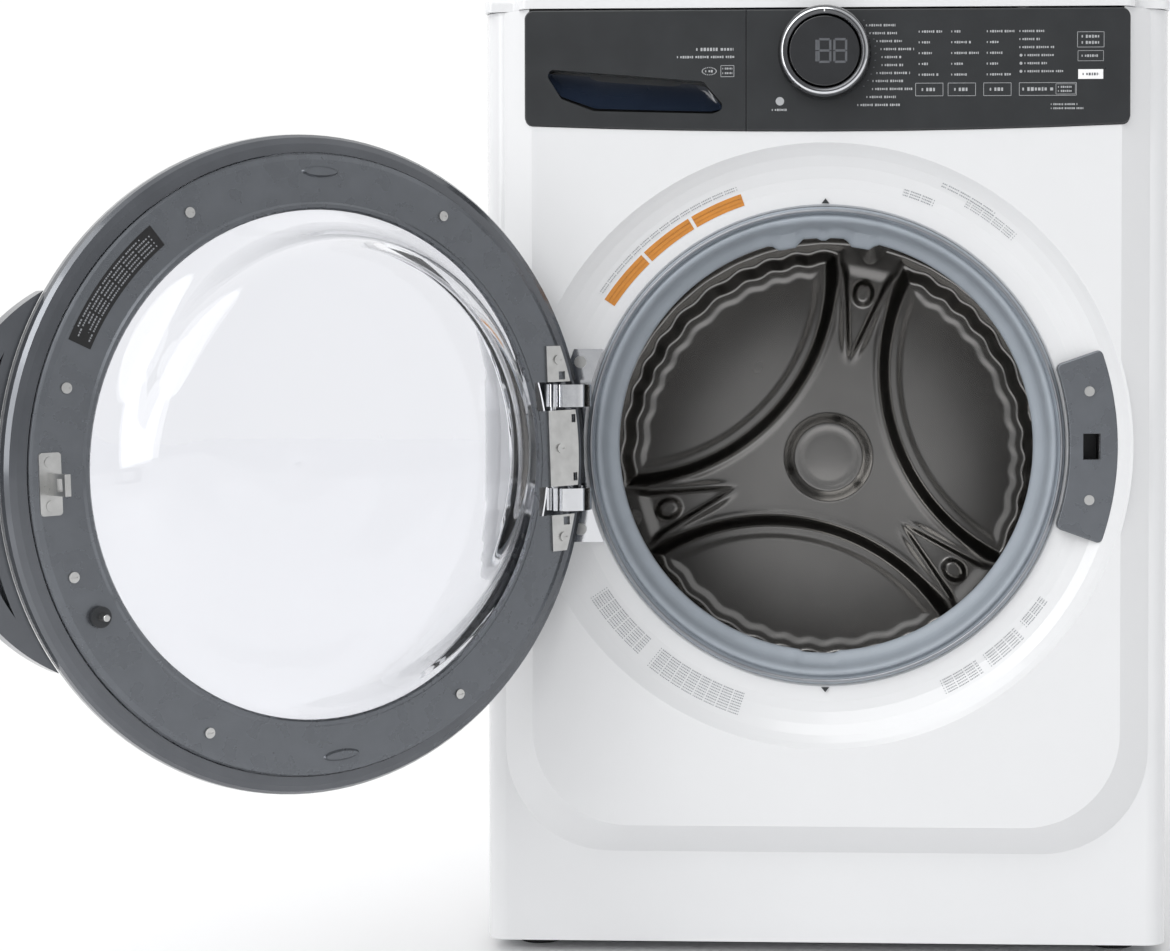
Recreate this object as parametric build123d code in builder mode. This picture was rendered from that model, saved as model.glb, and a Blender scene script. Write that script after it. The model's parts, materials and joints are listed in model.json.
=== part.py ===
from build123d import *
import os
from math import cos, sin, radians

# Front loading washing machine, at full size in millimetres.
# X runs to the right of a person facing the machine, Y runs to its back, Z runs up.
# The origin is on the floor, midway between the four feet.
# Almost every part is round about one of three axes: the mouth axis (level, through the
# door opening), the tub axis (tipped so that the drum's mouth looks slightly up) and the
# door axis, which swings with the open door.

os.makedirs("parts", exist_ok=True)

# ---------------------------------------------------------------- cabinet
width = 686
height = 965
base_z = 14
side_front_y = -345
rear_y = 372
sheet = 1
front_sheet = 2.5
top_thick = 15
skirt_y = -372
face_y = -395
corner_r = 22
panel_top = height - top_thick - 0.4
bulge_half = 292
bulge_flare = 32
bulge_bottom = 136
bulge_corner_r = 95
access_half = 215
access_low = 200
access_high = 740

# ---------------------------------------------------------------- mouth and door
mouth_z = 515
bezel_r = 301.5
dish_y = -373
gasket_seat_r = 240
plate_y = -389
open_angle = 136
hinge_lean = -1
hinge_x = -268
hinge_y = -413.6
plate_r = 280
door_r = 298
window_r = 250
glass_rim_r = 227
glass_flange_r = 230.5
bowl_deep = 66
strike_x = 264.5
bolt_y = plate_y + 24
bolt_size = 8
plunger_x = 226.5
plunger_z = -113.5
plunger_r = 3
plunger_long = 18.6
pin_r = 4
knuckle_r = 8
screw_r = 2.4
screw_hole_r = 2.6
screw_head_r = 4.6
screw_head_high = 1.8

# ---------------------------------------------------------------- console and drawer
console_left = -298.8
console_right = 300.2
console_top = 948
console_edge_z = 834
console_mid_z = 827.6
console_y = -397
console_sheet = 2.5
seam_x = -78.2
seam_gap = 0.6
knob_x = -0.8
knob_z = 904
knob_r = 46
knob_front_y = -420
display_r = 34.5

# ---------------------------------------------------------------- tub and drum
tilt = 4
axis_y = -352
tub_r = 300
tub_wall = 3.5
tub_front_s = 30
tub_split_s = 254
tub_back_s = 560
drum_r = 275
drum_wall = 1.2
drum_front_s = 50
drum_back_s = 500
star_angles = (78, 198, 318)
shaft_r = 14.95
bearing_r = 31
pulley_r = 150
pulley_s = 618
pulley_width = 14
motor_pulley_r = 11
motor_x = -60
motor_drop = 360

# ---------------------------------------------------------------- feet and dampers
foot_x = 295
foot_y = 310
foot_pad_r = 22
foot_pad_high = 8
stud_r = 5
stud_long = 46
nut_r = 9.8
nut_high = 6
rail_z = 898
rail_y = 44
rail_long = 212
spring_x = 284
spring_ys = (-34, 122)
damper_x = 190
damper_ys = (-202, 150)
damper_r = 16
rod_r = 8
running_gap = 0.05

# ---------------------------------------------------------------- water and power
valve_xs = (-230, -170)
valve_z = 885
inlet_r = 13.2
drain_x = 255
drain_z = 860
spigot_r = 11
gland_x = -290
gland_z = 800
gland_r = 9.8
cord_r = 4.5
pump_x = 60
pump_y = -290
pump_z = 62
pump_r = 36
pump_long = 60


def facing(y, x=0, z=mouth_z):
    """An upright plane at depth y that looks out of the front: local x is X, local y is Z"""
    return Plane(origin=(x, y, z), x_dir=(1, 0, 0), z_dir=(0, -1, 0))


tub_forward = Vector(0, -cos(radians(tilt)), sin(radians(tilt)))
tub_up = Vector(0, sin(radians(tilt)), cos(radians(tilt)))
tub_origin = Vector(0, axis_y, mouth_z)
tub_axis = Axis(tub_origin, tub_forward * -1)
tub_section = Plane(origin=tub_origin, x_dir=(1, 0, 0), z_dir=tub_up)
mouth_axis = Axis((0, 0, mouth_z), (0, 1, 0))
mouth_section = Plane.XY.offset(mouth_z)


def across_tub(s):
    """A plane across the tub axis, s behind its front reference, looking forward"""
    return Plane(origin=tub_origin - tub_forward * s, x_dir=(1, 0, 0), z_dir=tub_forward)


def tub_point(x, up, s):
    """A point at x, up and s in the tub's own tipped frame"""
    return tub_origin + Vector(x, 0, 0) + tub_up * up - tub_forward * s


# The hinge line leans a little to the left at its top, so that the door drops as it opens
# and stays open.
hinge_line = Location((hinge_x, hinge_y, mouth_z), (0, hinge_lean, 0))
door_swing = hinge_line * Location((0, 0, 0), (0, 0, -open_angle)) * hinge_line.inverse()


def swung(plane):
    """Carry a plane of the closed door to where it stands on the open door"""
    return Plane(door_swing * plane.location)


def door_face(out):
    """A plane across the door, out in front of its inner plate, looking out of its front"""
    return swung(facing(plate_y - out))


def door_level(z):
    """A level plane of the closed door at height z, with local x and y as X and Y"""
    return swung(Plane(origin=(0, 0, z), x_dir=(1, 0, 0), z_dir=(0, 0, 1)))


door_section = swung(Plane(origin=(0, plate_y, mouth_z), x_dir=(1, 0, 0), z_dir=(0, 0, -1)))
door_axis = Axis(door_section.origin, door_section.y_dir)


def turned(section, axis, points, mode=Mode.ADD):
    """Turn a closed outline of straight runs about an axis"""
    with BuildSketch(section) as outline:
        with BuildLine():
            Polyline(*points, close=True)
        make_face()
    revolve(outline.sketch, axis=axis, mode=mode)


def polar(radius, angle):
    """A point at a radius and an angle in degrees"""
    return (radius * cos(radians(angle)), radius * sin(radians(angle)))


def tapped_stud(plane, radius, length, head_r, head_high):
    """A cheese-head screw with its seat on the plane and its shank behind it"""
    with Locations(plane):
        Cylinder(head_r, head_high, align=(Align.CENTER, Align.CENTER, Align.MIN))
        Cylinder(radius, length, align=(Align.CENTER, Align.CENTER, Align.MAX))
        with Locations((0, 0, head_high)):
            Box(head_r * 1.3, head_r * 0.25, head_high, mode=Mode.SUBTRACT)


# ================================================================ cabinet
side_depth = rear_y - side_front_y
side_mid_y = (rear_y + side_front_y) / 2
panel_high = panel_top - base_z
flange = 24

with BuildPart() as cabinet_wrap:
    with BuildSketch(Plane.XY.offset(base_z)):
        with Locations((0, side_mid_y)):
            Rectangle(width, side_depth)
            Rectangle(width - 2 * sheet, side_depth - 2 * sheet, mode=Mode.SUBTRACT)
    extrude(amount=panel_high)
    with Locations((0, side_front_y, base_z + panel_high / 2)):
        Box(width - 2 * flange, 4 * sheet, panel_high, mode=Mode.SUBTRACT)
    with Locations((0, rear_y, (access_low + access_high) / 2)):
        Box(2 * access_half, 4 * sheet, access_high - access_low, mode=Mode.SUBTRACT)
    for side in (-1, 1):
        with Locations((side * (width / 2 - 37), rail_y, rail_z)):
            Box(73, rail_long, 3, align=(Align.CENTER, Align.CENTER, Align.MIN))
    for hole_x, hole_z, hole_r in (
        (valve_xs[0], valve_z, inlet_r + 1.8),
        (valve_xs[1], valve_z, inlet_r + 1.8),
        (drain_x, drain_z, spigot_r + 2),
        (gland_x, gland_z, gland_r + 0.2),
    ):
        with Locations(facing(rear_y, hole_x, hole_z)):
            Cylinder(hole_r, 6 * sheet, mode=Mode.SUBTRACT)
cabinet_wrap.part.label = "cabinet_wrap"
export_step(cabinet_wrap.part, "parts/cabinet_wrap.step")

rear_overlap = 18
rear_panel_high = access_high - access_low + 2 * rear_overlap
rear_panel_wide = 2 * (access_half + rear_overlap)
with BuildPart() as rear_panel:
    with BuildSketch(facing(rear_y + 1.2, 0, (access_low + access_high) / 2)):
        RectangleRounded(rear_panel_wide, rear_panel_high, 14)
    extrude(amount=1.2)
    with BuildSketch(facing(rear_y + 1.2, 0, (access_low + access_high) / 2)):
        with GridLocations(0, 90, 1, 5):
            SlotOverall(300, 26)
    extrude(amount=-4, taper=30)
    with BuildSketch(facing(rear_y + 8, 0, access_low + 24)):
        with GridLocations(26, 0, 9, 1):
            SlotOverall(20, 5, rotation=90)
    extrude(amount=10, mode=Mode.SUBTRACT)
rear_panel.part.label = "rear_panel"
export_step(rear_panel.part, "parts/rear_panel.step")

with BuildPart() as base_pan:
    with Locations((0, side_mid_y, base_z)):
        Box(
            width - 2 * sheet - 1,
            side_depth - 2 * sheet - 1,
            32,
            align=(Align.CENTER, Align.CENTER, Align.MIN),
        )
    with Locations((0, side_mid_y, base_z + 2)):
        Box(
            width - 2 * sheet - 5,
            side_depth - 2 * sheet - 5,
            40,
            align=(Align.CENTER, Align.CENTER, Align.MIN),
            mode=Mode.SUBTRACT,
        )
    with Locations((0, 60, base_z)):
        Box(360, 260, 10, mode=Mode.SUBTRACT)
    with GridLocations(2 * foot_x, 2 * foot_y, 2, 2):
        Cylinder(stud_r + 0.3, 80, mode=Mode.SUBTRACT)
base_pan.part.label = "base_pan"
export_step(base_pan.part, "parts/base_pan.step")

foot_names = {
    "foot_front_left": (-foot_x, -foot_y),
    "foot_front_right": (foot_x, -foot_y),
    "foot_rear_left": (-foot_x, foot_y),
    "foot_rear_right": (foot_x, foot_y),
}
for foot_name, foot_place in foot_names.items():
    with BuildPart() as foot:
        with Locations((foot_place[0], foot_place[1], 0)):
            Cylinder(foot_pad_r, foot_pad_high, align=(Align.CENTER, Align.CENTER, Align.MIN))
            Cylinder(stud_r, stud_long, align=(Align.CENTER, Align.CENTER, Align.MIN))
        with BuildSketch(Plane.XY.offset(foot_pad_high)):
            with Locations(foot_place):
                RegularPolygon(nut_r, 6)
        extrude(amount=base_z - foot_pad_high - 0.6)
    foot.part.label = foot_name
    export_step(foot.part, f"parts/{foot_name}.step")

with BuildPart() as lock_nuts:
    with BuildSketch(Plane.XY.offset(base_z + 2.2)):
        with GridLocations(2 * foot_x, 2 * foot_y, 2, 2):
            RegularPolygon(nut_r, 6)
            Circle(stud_r + running_gap, mode=Mode.SUBTRACT)
    extrude(amount=nut_high)
lock_nuts.part.label = "lock_nuts"
export_step(lock_nuts.part, "parts/lock_nuts.step")


def top_outline(inset):
    """The plan of the lid: the cabinet's rectangle with a shallow tongue over the front"""
    with BuildSketch(Plane.XY) as plan:
        with Locations((0, (skirt_y - 2 + rear_y + 2) / 2)):
            Rectangle(width - 2 * inset, rear_y - skirt_y + 4 - 2 * inset)
        with Locations((0, face_y + 60 + inset)):
            Rectangle(2 * (bulge_half + 14) - 2 * inset, 120)
        fillet(plan.vertices(), 9)
    return plan.sketch


with BuildPart() as top_panel:
    extrude(top_outline(0).moved(Location((0, 0, height - top_thick))), amount=top_thick)
    fillet(top_panel.faces().sort_by(Axis.Z)[-1].edges(), 7)
    extrude(
        top_outline(4).moved(Location((0, 0, height - top_thick))),
        amount=top_thick - 2,
        mode=Mode.SUBTRACT,
    )
top_panel.part.label = "top_panel"
export_step(top_panel.part, "parts/top_panel.step")


# ================================================================ front panel
def skirt_block(inset):
    """The full-width lower layer of the front, with rounded upright edges"""
    half = width / 2 - inset
    front = skirt_y + inset
    radius = corner_r - inset
    with BuildSketch(Plane.XY.offset(base_z + inset)) as plan:
        with BuildLine():
            Line((-half, side_front_y - 0.3), (-half, front + radius))
            RadiusArc((-half, front + radius), (-half + radius, front), -radius)
            Line((-half + radius, front), (half - radius, front))
            RadiusArc((half - radius, front), (half, front + radius), -radius)
            Line((half, front + radius), (half, side_front_y - 0.3))
            Line((half, side_front_y - 0.3), (-half, side_front_y - 0.3))
        make_face()
    return extrude(plan.sketch, amount=panel_high - 2 * inset, mode=Mode.PRIVATE)


def bulge_block(inset):
    """The raised middle of the front: it flares down into the skirt on three sides"""
    over = 120
    outer_half = bulge_half + bulge_flare - inset
    inner_half = bulge_half - inset
    outer_low = bulge_bottom - bulge_flare + inset
    inner_low = bulge_bottom + inset
    with BuildSketch(facing(skirt_y + inset + 1, 0, 0)) as foot_line:
        with Locations((0, (outer_low + height + over) / 2)):
            RectangleRounded(2 * outer_half, height + over - outer_low, bulge_corner_r + 12 - inset)
    with BuildSketch(facing(face_y + inset, 0, 0)) as crown_line:
        with Locations((0, (inner_low + height + over) / 2)):
            RectangleRounded(2 * inner_half, height + over - inner_low, bulge_corner_r - inset)
    return loft([foot_line.sketch.face(), crown_line.sketch.face()], mode=Mode.PRIVATE)


def console_outline(spread):
    """The console's outline: straight top and sides, a bottom that bows down, round corners"""
    left = console_left - spread
    right = console_right + spread
    with BuildSketch(facing(0, 0, 0)) as shape:
        with BuildLine():
            Line((left, console_top + spread), (left, console_edge_z - spread))
            ThreePointArc(
                (left, console_edge_z - spread),
                ((left + right) / 2, console_mid_z - spread),
                (right, console_edge_z - spread),
            )
            Line((right, console_edge_z - spread), (right, console_top + spread))
            Line((right, console_top + spread), (left, console_top + spread))
        make_face()
        fillet(shape.vertices(), 9)
    return shape.sketch


mouth_dish = [
    (bezel_r + 3, face_y),
    (bezel_r, face_y),
    (bezel_r - 5, face_y + 4.6),
    (bezel_r - 12, face_y + 10.2),
    (bezel_r - 22, face_y + 15.8),
    (bezel_r - 34, face_y + 20.2),
    (bezel_r - 44, dish_y),
    (gasket_seat_r + 2, dish_y),
    (gasket_seat_r, dish_y + 2),
    (gasket_seat_r, dish_y + 13),
    (gasket_seat_r + 2.5, dish_y + 13),
    (gasket_seat_r + 2.5, dish_y + 2.6),
    (bezel_r - 43, dish_y + 2.5),
    (bezel_r - 32, face_y + 22.2),
    (bezel_r - 20, face_y + 17.8),
    (bezel_r - 10, face_y + 12.4),
    (bezel_r - 3, face_y + 6.4),
    (bezel_r + 3, face_y + 2),
]

with BuildPart() as front_panel:
    add(skirt_block(0))
    add(bulge_block(0))
    add(skirt_block(front_sheet), mode=Mode.SUBTRACT)
    add(bulge_block(front_sheet), mode=Mode.SUBTRACT)
    with Locations((0, 0, panel_top)):
        Box(2 * width, 2 * width, 400, align=(Align.CENTER, Align.CENTER, Align.MIN), mode=Mode.SUBTRACT)
    with Locations((0, side_mid_y, mouth_z)):
        Box(width - 2 * front_sheet, side_depth, 2 * (mouth_z - 40), mode=Mode.SUBTRACT)
    with Locations(facing(face_y)):
        Cylinder(bezel_r, 90, mode=Mode.SUBTRACT)
    turned(mouth_section, mouth_axis, mouth_dish)
    extrude(console_outline(0.5), amount=500, both=True, mode=Mode.SUBTRACT)
    with Locations((0, face_y, panel_top)):
        Box(console_right - console_left - 10, 60, 40, mode=Mode.SUBTRACT)
    with Locations((strike_x, dish_y, mouth_z)):
        Box(17, 20, 26, mode=Mode.SUBTRACT)
front_panel.part.label = "front_panel"
export_step(front_panel.part, "parts/front_panel.step")


# ================================================================ console
def console_cap(left, right):
    """The stretch of the console between two upright cuts, as a shallow tray open behind"""
    middle = (left + right) / 2
    with BuildPart(mode=Mode.PRIVATE) as cap:
        extrude(console_outline(0).moved(Location((0, console_y, 0))), amount=-24)
        fillet(cap.faces().sort_by(Axis.Y)[0].edges(), 1.6)
        with Locations((middle, console_y + 12, console_top - 60)):
            Box(right - left, 60, 200, mode=Mode.INTERSECT)
        with BuildSketch(facing(console_y + console_sheet, 0, 0)) as hollow:
            add(console_outline(-console_sheet))
            with Locations((middle, console_top - 60)):
                Rectangle(right - left - 2 * console_sheet, 200, mode=Mode.INTERSECT)
        extrude(hollow.sketch, amount=-30, mode=Mode.SUBTRACT)
    return cap.part


with BuildPart() as console_panel:
    add(console_cap(seam_x, console_right + 1))
    with Locations(facing(console_y + 1, knob_x, knob_z)):
        Cylinder(display_r, 19, align=(Align.CENTER, Align.CENTER, Align.MIN))
        with Locations((0, 0, -8)):
            Cylinder(display_r - 8, 23, align=(Align.CENTER, Align.CENTER, Align.MIN), mode=Mode.SUBTRACT)
console_panel.part.label = "console_panel"
export_step(console_panel.part, "parts/console_panel.step")

scoop_points = [(-281, 890), (-121, 877), (-98, 850), (-112, 845), (-230, 848), (-262, 860)]
scoop_deep = 20


def scoop_sketch(plane, spread):
    """The outline of the drawer's finger scoop, spread outwards by a wall"""
    with BuildSketch(plane) as shape:
        with BuildLine():
            Polyline(*scoop_points, close=True)
        make_face()
        fillet(shape.vertices(), 6)
        if spread:
            offset(amount=spread)
    return shape.sketch


with BuildPart() as drawer_front:
    add(console_cap(console_left - 1, seam_x - seam_gap))
    extrude(scoop_sketch(facing(console_y + 1, 0, 0), 2.5), amount=-scoop_deep - 1.5)
    extrude(scoop_sketch(facing(console_y - 1, 0, 0), 0), amount=-scoop_deep, mode=Mode.SUBTRACT)
drawer_front.part.label = "drawer_front"
export_step(drawer_front.part, "parts/drawer_front.step")

tray_left = -284
tray_right = -94
tray_low = 848
tray_high = 908
tray_front_y = -372.8
tray_long = 262
tray_mid_x = (tray_left + tray_right) / 2
tray_wide = tray_right - tray_left
cell_floor = tray_low + 3

with BuildPart() as drawer_tray:
    with Locations((tray_mid_x, tray_front_y + tray_long / 2, (tray_low + tray_high) / 2)):
        Box(tray_wide, tray_long, tray_high - tray_low)
    for cell_x, cell_wide in ((tray_left + 34, 60), (tray_left + 97, 60), (tray_right - 32, 58)):
        with Locations((cell_x, tray_front_y + 12 + 118, cell_floor)):
            Box(
                cell_wide,
                tray_long - 26,
                100,
                align=(Align.CENTER, Align.CENTER, Align.MIN),
                mode=Mode.SUBTRACT,
            )
drawer_tray.part.label = "drawer_tray"
export_step(drawer_tray.part, "parts/drawer_tray.step")

with BuildPart() as siphon_caps:
    for cap_x in (tray_left + 34, tray_left + 97):
        with Locations((cap_x, tray_front_y + 215, cell_floor)):
            Cylinder(9, 34, align=(Align.CENTER, Align.CENTER, Align.MIN))
            with Locations((0, 0, 34)):
                Box(40, 40, 3, align=(Align.CENTER, Align.CENTER, Align.MIN))
siphon_caps.part.label = "siphon_caps"
export_step(siphon_caps.part, "parts/siphon_caps.step")

housing_gap = 1.5
housing_wall = 2.5
housing_long = tray_long + 34
housing_mid_z = (tray_low + tray_high) / 2 + 2
with BuildPart() as dispenser_housing:
    with Locations((tray_mid_x, tray_front_y + 8 + housing_long / 2, housing_mid_z)):
        Box(
            tray_wide + 2 * (housing_gap + housing_wall),
            housing_long,
            tray_high - tray_low + 4 + 2 * (housing_gap + housing_wall),
        )
    with Locations((tray_mid_x, tray_front_y + 8 + housing_long / 2 - housing_wall, housing_mid_z)):
        Box(
            tray_wide + 2 * housing_gap,
            housing_long,
            tray_high - tray_low + 4 + 2 * housing_gap,
            mode=Mode.SUBTRACT,
        )
dispenser_housing.part.label = "dispenser_housing"
export_step(dispenser_housing.part, "parts/dispenser_housing.step")

with BuildPart() as knob_ring:
    with BuildSketch(Plane.XY.offset(knob_z)):
        with Locations((knob_x, 0)):
            with BuildLine():
                Polyline(
                    (display_r + 0.8, console_y - 0.6),
                    (knob_r, console_y - 0.6),
                    (knob_r, console_y - 15),
                    (knob_r - 2.5, knob_front_y + 2),
                    (knob_r - 5.5, knob_front_y),
                    (display_r + 2.6, knob_front_y + 0.8),
                    (display_r + 0.8, knob_front_y + 3),
                    close=True,
                )
            make_face()
    revolve(axis=Axis((knob_x, 0, knob_z), (0, 1, 0)))
knob_ring.part.label = "knob_ring"
export_step(knob_ring.part, "parts/knob_ring.step")

with BuildPart() as display_lens:
    with Locations(facing(console_y - 18.2, knob_x, knob_z)):
        Cylinder(display_r, 2.6, align=(Align.CENTER, Align.CENTER, Align.MIN))
    fillet(display_lens.faces().sort_by(Axis.Y)[0].edges(), 1.2)
display_lens.part.label = "display_lens"
export_step(display_lens.part, "parts/display_lens.step")

board_x = 112
board_z = 886
with BuildPart() as control_board:
    with BuildSketch(facing(console_y + 16, board_x, board_z)):
        Rectangle(350, 84)
    extrude(amount=1.6)
    with BuildSketch(facing(console_y + 14.4, board_x + 30, board_z)):
        with GridLocations(54, 34, 5, 2):
            Rectangle(22, 16)
    extrude(amount=4)
control_board.part.label = "control_board"
export_step(control_board.part, "parts/control_board.step")

# ================================================================ door
hinge_band_low = 37
hinge_band_high = 65
hinge_cut_x = -226
arm_clear_x = 229.6
leaf_inner_x = 243
leaf_half_long = 100


def hinge_cut(reach_back, reach_front):
    """Clear the two bands where the hinge's arms pass, over a stretch of the door's depth"""
    for side in (-1, 1):
        middle = mouth_z + side * (hinge_band_low + hinge_band_high) / 2
        with BuildSketch(door_level(middle)) as band:
            with Locations(((hinge_cut_x - 306) / 2, (reach_back + reach_front) / 2)):
                Rectangle(306 + hinge_cut_x, reach_back - reach_front)
        extrude(
            band.sketch,
            amount=(hinge_band_high - hinge_band_low) / 2,
            both=True,
            mode=Mode.SUBTRACT,
        )


plate_screw_r = 259.5
plate_screw_angles = (17.6, 60, 120, 240, 300, 342.4)
leaf_screws = ((-256, 86.4), (-256, 0), (-256, -86.4))
leaf_slots = ((-271.5, 28.6), (-260.5, 71), (-260.5, -71), (-271.5, -28.6))

with BuildPart() as door_inner_plate:
    plate_outline = [
        (229, 1),
        (231, -1.5),
        (234, -1.5),
        (236, 0),
        (274, 0),
        (278.5, 1.5),
        (plate_r, 5),
        (plate_r, 9),
        (276.5, 9),
        (276.5, 5),
        (274, 3.5),
        (229, 3.5),
    ]
    turned(door_section, door_axis, plate_outline)
    with BuildSketch(door_face(0.5)):
        with Locations((0, 263), (0, -263)):
            Ellipse(19, 5.5)
    extrude(amount=-3, taper=35)
    with BuildSketch(door_face(-5)):
        with Locations((-leaf_inner_x - 4 - 40, 0)):
            Rectangle(80, 2 * hinge_band_high + 4)
        for side in (-1, 1):
            with Locations((-arm_clear_x - 40, side * (hinge_band_low + hinge_band_high) / 2)):
                Rectangle(80, hinge_band_high - hinge_band_low)
    extrude(amount=20, mode=Mode.SUBTRACT)
    for angle in plate_screw_angles:
        with Locations(door_face(0)):
            with Locations(polar(plate_screw_r, angle)):
                Cylinder(screw_hole_r, 20, mode=Mode.SUBTRACT)
    with Locations(door_face(0)):
        with Locations(*leaf_screws):
            Cylinder(screw_hole_r, 20, mode=Mode.SUBTRACT)
        with Locations((strike_x, 18), (strike_x, -18)):
            Cylinder(3, 20, mode=Mode.SUBTRACT)
        with Locations((plunger_x, plunger_z)):
            Cylinder(5.2, 20, mode=Mode.SUBTRACT)
door_inner_plate.part.label = "door_inner_plate"
export_step(door_inner_plate.part, "parts/door_inner_plate.step")

with BuildPart() as door_outer_ring:
    ring_outline = [
        (281, 7),
        (289, 8),
        (294.5, 10.5),
        (297.3, 14.5),
        (door_r, 20),
        (297.4, 27),
        (295, 34),
        (290, 41),
        (282.5, 46.5),
        (273, 50.5),
        (263, 52.5),
        (window_r, 52.5),
        (window_r, 49.5),
        (263, 49.5),
        (272, 47.6),
        (281, 43.8),
        (287.5, 39),
        (292.2, 32.6),
        (294.4, 26),
        (295, 20),
        (294.4, 15.5),
        (292.4, 12.8),
        (288, 11),
        (281, 10),
    ]
    turned(door_section, door_axis, ring_outline)
    hinge_cut(hinge_y + 34, hinge_y + 6)
door_outer_ring.part.label = "door_outer_ring"
export_step(door_outer_ring.part, "parts/door_outer_ring.step")

grip_end_z = 160
grip_knee_x = 306
grip_knee_z = 116
grip_out_x = 328
with BuildPart() as door_grip:
    with BuildSketch(door_face(24)):
        with BuildLine():
            ThreePointArc((252.4, grip_end_z), (281, 141), (grip_knee_x, grip_knee_z))
            ThreePointArc((grip_knee_x, grip_knee_z), (grip_out_x, 0), (grip_knee_x, -grip_knee_z))
            ThreePointArc((grip_knee_x, -grip_knee_z), (281, -141), (252.4, -grip_end_z))
            ThreePointArc((252.4, -grip_end_z), (door_r + 0.8, 0), (252.4, grip_end_z))
        make_face()
    extrude(amount=18)
    chamfer(door_grip.faces().sort_by(door_axis)[-1].edges(), 3)
    with BuildSketch(door_face(23)):
        with BuildLine():
            ThreePointArc((288, 110), (grip_out_x - 7, 0), (288, -110))
            ThreePointArc((288, -110), (309, 0), (288, 110))
        make_face()
    extrude(amount=11, mode=Mode.SUBTRACT)
door_grip.part.label = "door_grip"
export_step(door_grip.part, "parts/door_grip.step")

with BuildPart() as door_glass_bowl:
    with BuildSketch(door_section):
        with BuildLine():
            Line((0, -bowl_deep), (150, 1 - bowl_deep))
            Spline((150, 1 - bowl_deep), (172, -63), (188, -57), (196, -46), (203, -30), (213, -12), (glass_rim_r, 0.5))
            Line((glass_rim_r, 0.5), (glass_rim_r, 3.8))
            Line((glass_rim_r, 3.8), (glass_flange_r, 3.8))
            Line((glass_flange_r, 3.8), (glass_flange_r, 8))
            Line((glass_flange_r, 8), (glass_rim_r - 4, 8))
            Spline(
                (glass_rim_r - 4, 8),
                (209, -10),
                (199, -28),
                (192, -42.6),
                (185.2, -52.4),
                (171, -58.2),
                (150, 5.5 - bowl_deep),
            )
            Line((150, 5.5 - bowl_deep), (0, 4.5 - bowl_deep))
            Line((0, 4.5 - bowl_deep), (0, -bowl_deep))
        make_face()
    revolve(axis=door_axis)
door_glass_bowl.part.label = "door_glass_bowl"
export_step(door_glass_bowl.part, "parts/door_glass_bowl.step")

with BuildPart() as door_window:
    turned(
        door_section,
        door_axis,
        [
            (0, 59),
            (90, 58.2),
            (170, 56),
            (225, 53.2),
            (window_r - 6.4, 51.8),
            (window_r - 6.4, 48.8),
            (225, 50.2),
            (170, 53),
            (90, 55.2),
            (0, 56),
        ],
    )
door_window.part.label = "door_window"
export_step(door_window.part, "parts/door_window.step")

with BuildPart() as door_window_trim:
    turned(
        door_section,
        door_axis,
        [
            (window_r - 6, 47),
            (window_r - 0.3, 47),
            (window_r - 0.3, 53.4),
            (window_r - 2, 54.6),
            (window_r - 6, 53.6),
        ],
    )
door_window_trim.part.label = "door_window_trim"
export_step(door_window_trim.part, "parts/door_window_trim.step")

with BuildPart() as door_screws:
    for angle in plate_screw_angles:
        screw_x, screw_z = polar(plate_screw_r, angle)
        tapped_stud(
            swung(Plane(origin=(screw_x, plate_y + 0.1, mouth_z + screw_z), x_dir=(1, 0, 0), z_dir=(0, 1, 0))),
            screw_r,
            9,
            screw_head_r,
            screw_head_high,
        )
    for screw_x, screw_z in leaf_screws:
        tapped_stud(
            swung(Plane(origin=(screw_x, plate_y + 2.7, mouth_z + screw_z), x_dir=(1, 0, 0), z_dir=(0, 1, 0))),
            screw_r,
            9,
            screw_head_r,
            screw_head_high,
        )
    with Locations(door_face(-2.1)):
        with Locations((strike_x, 18), (strike_x, -18)):
            Cylinder(4.8, 0.7, align=(Align.CENTER, Align.CENTER, Align.MAX))
            Cylinder(2.8, 9, align=(Align.CENTER, Align.CENTER, Align.MIN))
door_screws.part.label = "door_screws"
export_step(door_screws.part, "parts/door_screws.step")

# The strike: a zinc plate on the free side of the door with a hook that the lock holds
with BuildPart() as door_strike:
    with BuildSketch(door_face(0)):
        with Locations((strike_x, 0)):
            RectangleRounded(19, 52, 3)
            with Locations((0, 18), (0, -18)):
                Circle(3, mode=Mode.SUBTRACT)
    extrude(amount=-2)
    with BuildSketch(door_level(mouth_z)) as hook_side:
        with Locations((strike_x, plate_y + 17)):
            Rectangle(5, 34)
    extrude(hook_side.sketch, amount=9, both=True)
    with BuildSketch(door_level(mouth_z)) as hook_eye:
        with Locations((strike_x, bolt_y)):
            Rectangle(12, bolt_size + 2)
    extrude(hook_eye.sketch, amount=bolt_size / 2 + 1.2, both=True, mode=Mode.SUBTRACT)
door_strike.part.label = "door_strike"
export_step(door_strike.part, "parts/door_strike.step")

# The door-ajar plunger: a sprung pin beside the strike, in a short socket
with BuildPart() as plunger_socket:
    with Locations(door_face(0)):
        with Locations((plunger_x, plunger_z)):
            Cylinder(9, 5, align=(Align.CENTER, Align.CENTER, Align.MAX))
            Cylinder(5, 14, align=(Align.CENTER, Align.CENTER, Align.MIN))
            with Locations((0, 0, 5)):
                Cylinder(plunger_r + running_gap, 18, mode=Mode.SUBTRACT)
            Cylinder(plunger_r + running_gap, 12, mode=Mode.SUBTRACT)
plunger_socket.part.label = "plunger_socket"
export_step(plunger_socket.part, "parts/plunger_socket.step")

with BuildPart() as door_plunger:
    with Locations(door_face(3)):
        with Locations((plunger_x, plunger_z)):
            Cylinder(plunger_r, plunger_long, align=(Align.CENTER, Align.CENTER, Align.MAX))
    fillet(door_plunger.edges().filter_by(GeomType.CIRCLE), 1)
door_plunger.part.label = "door_plunger"
export_step(door_plunger.part, "parts/door_plunger.step")

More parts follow.
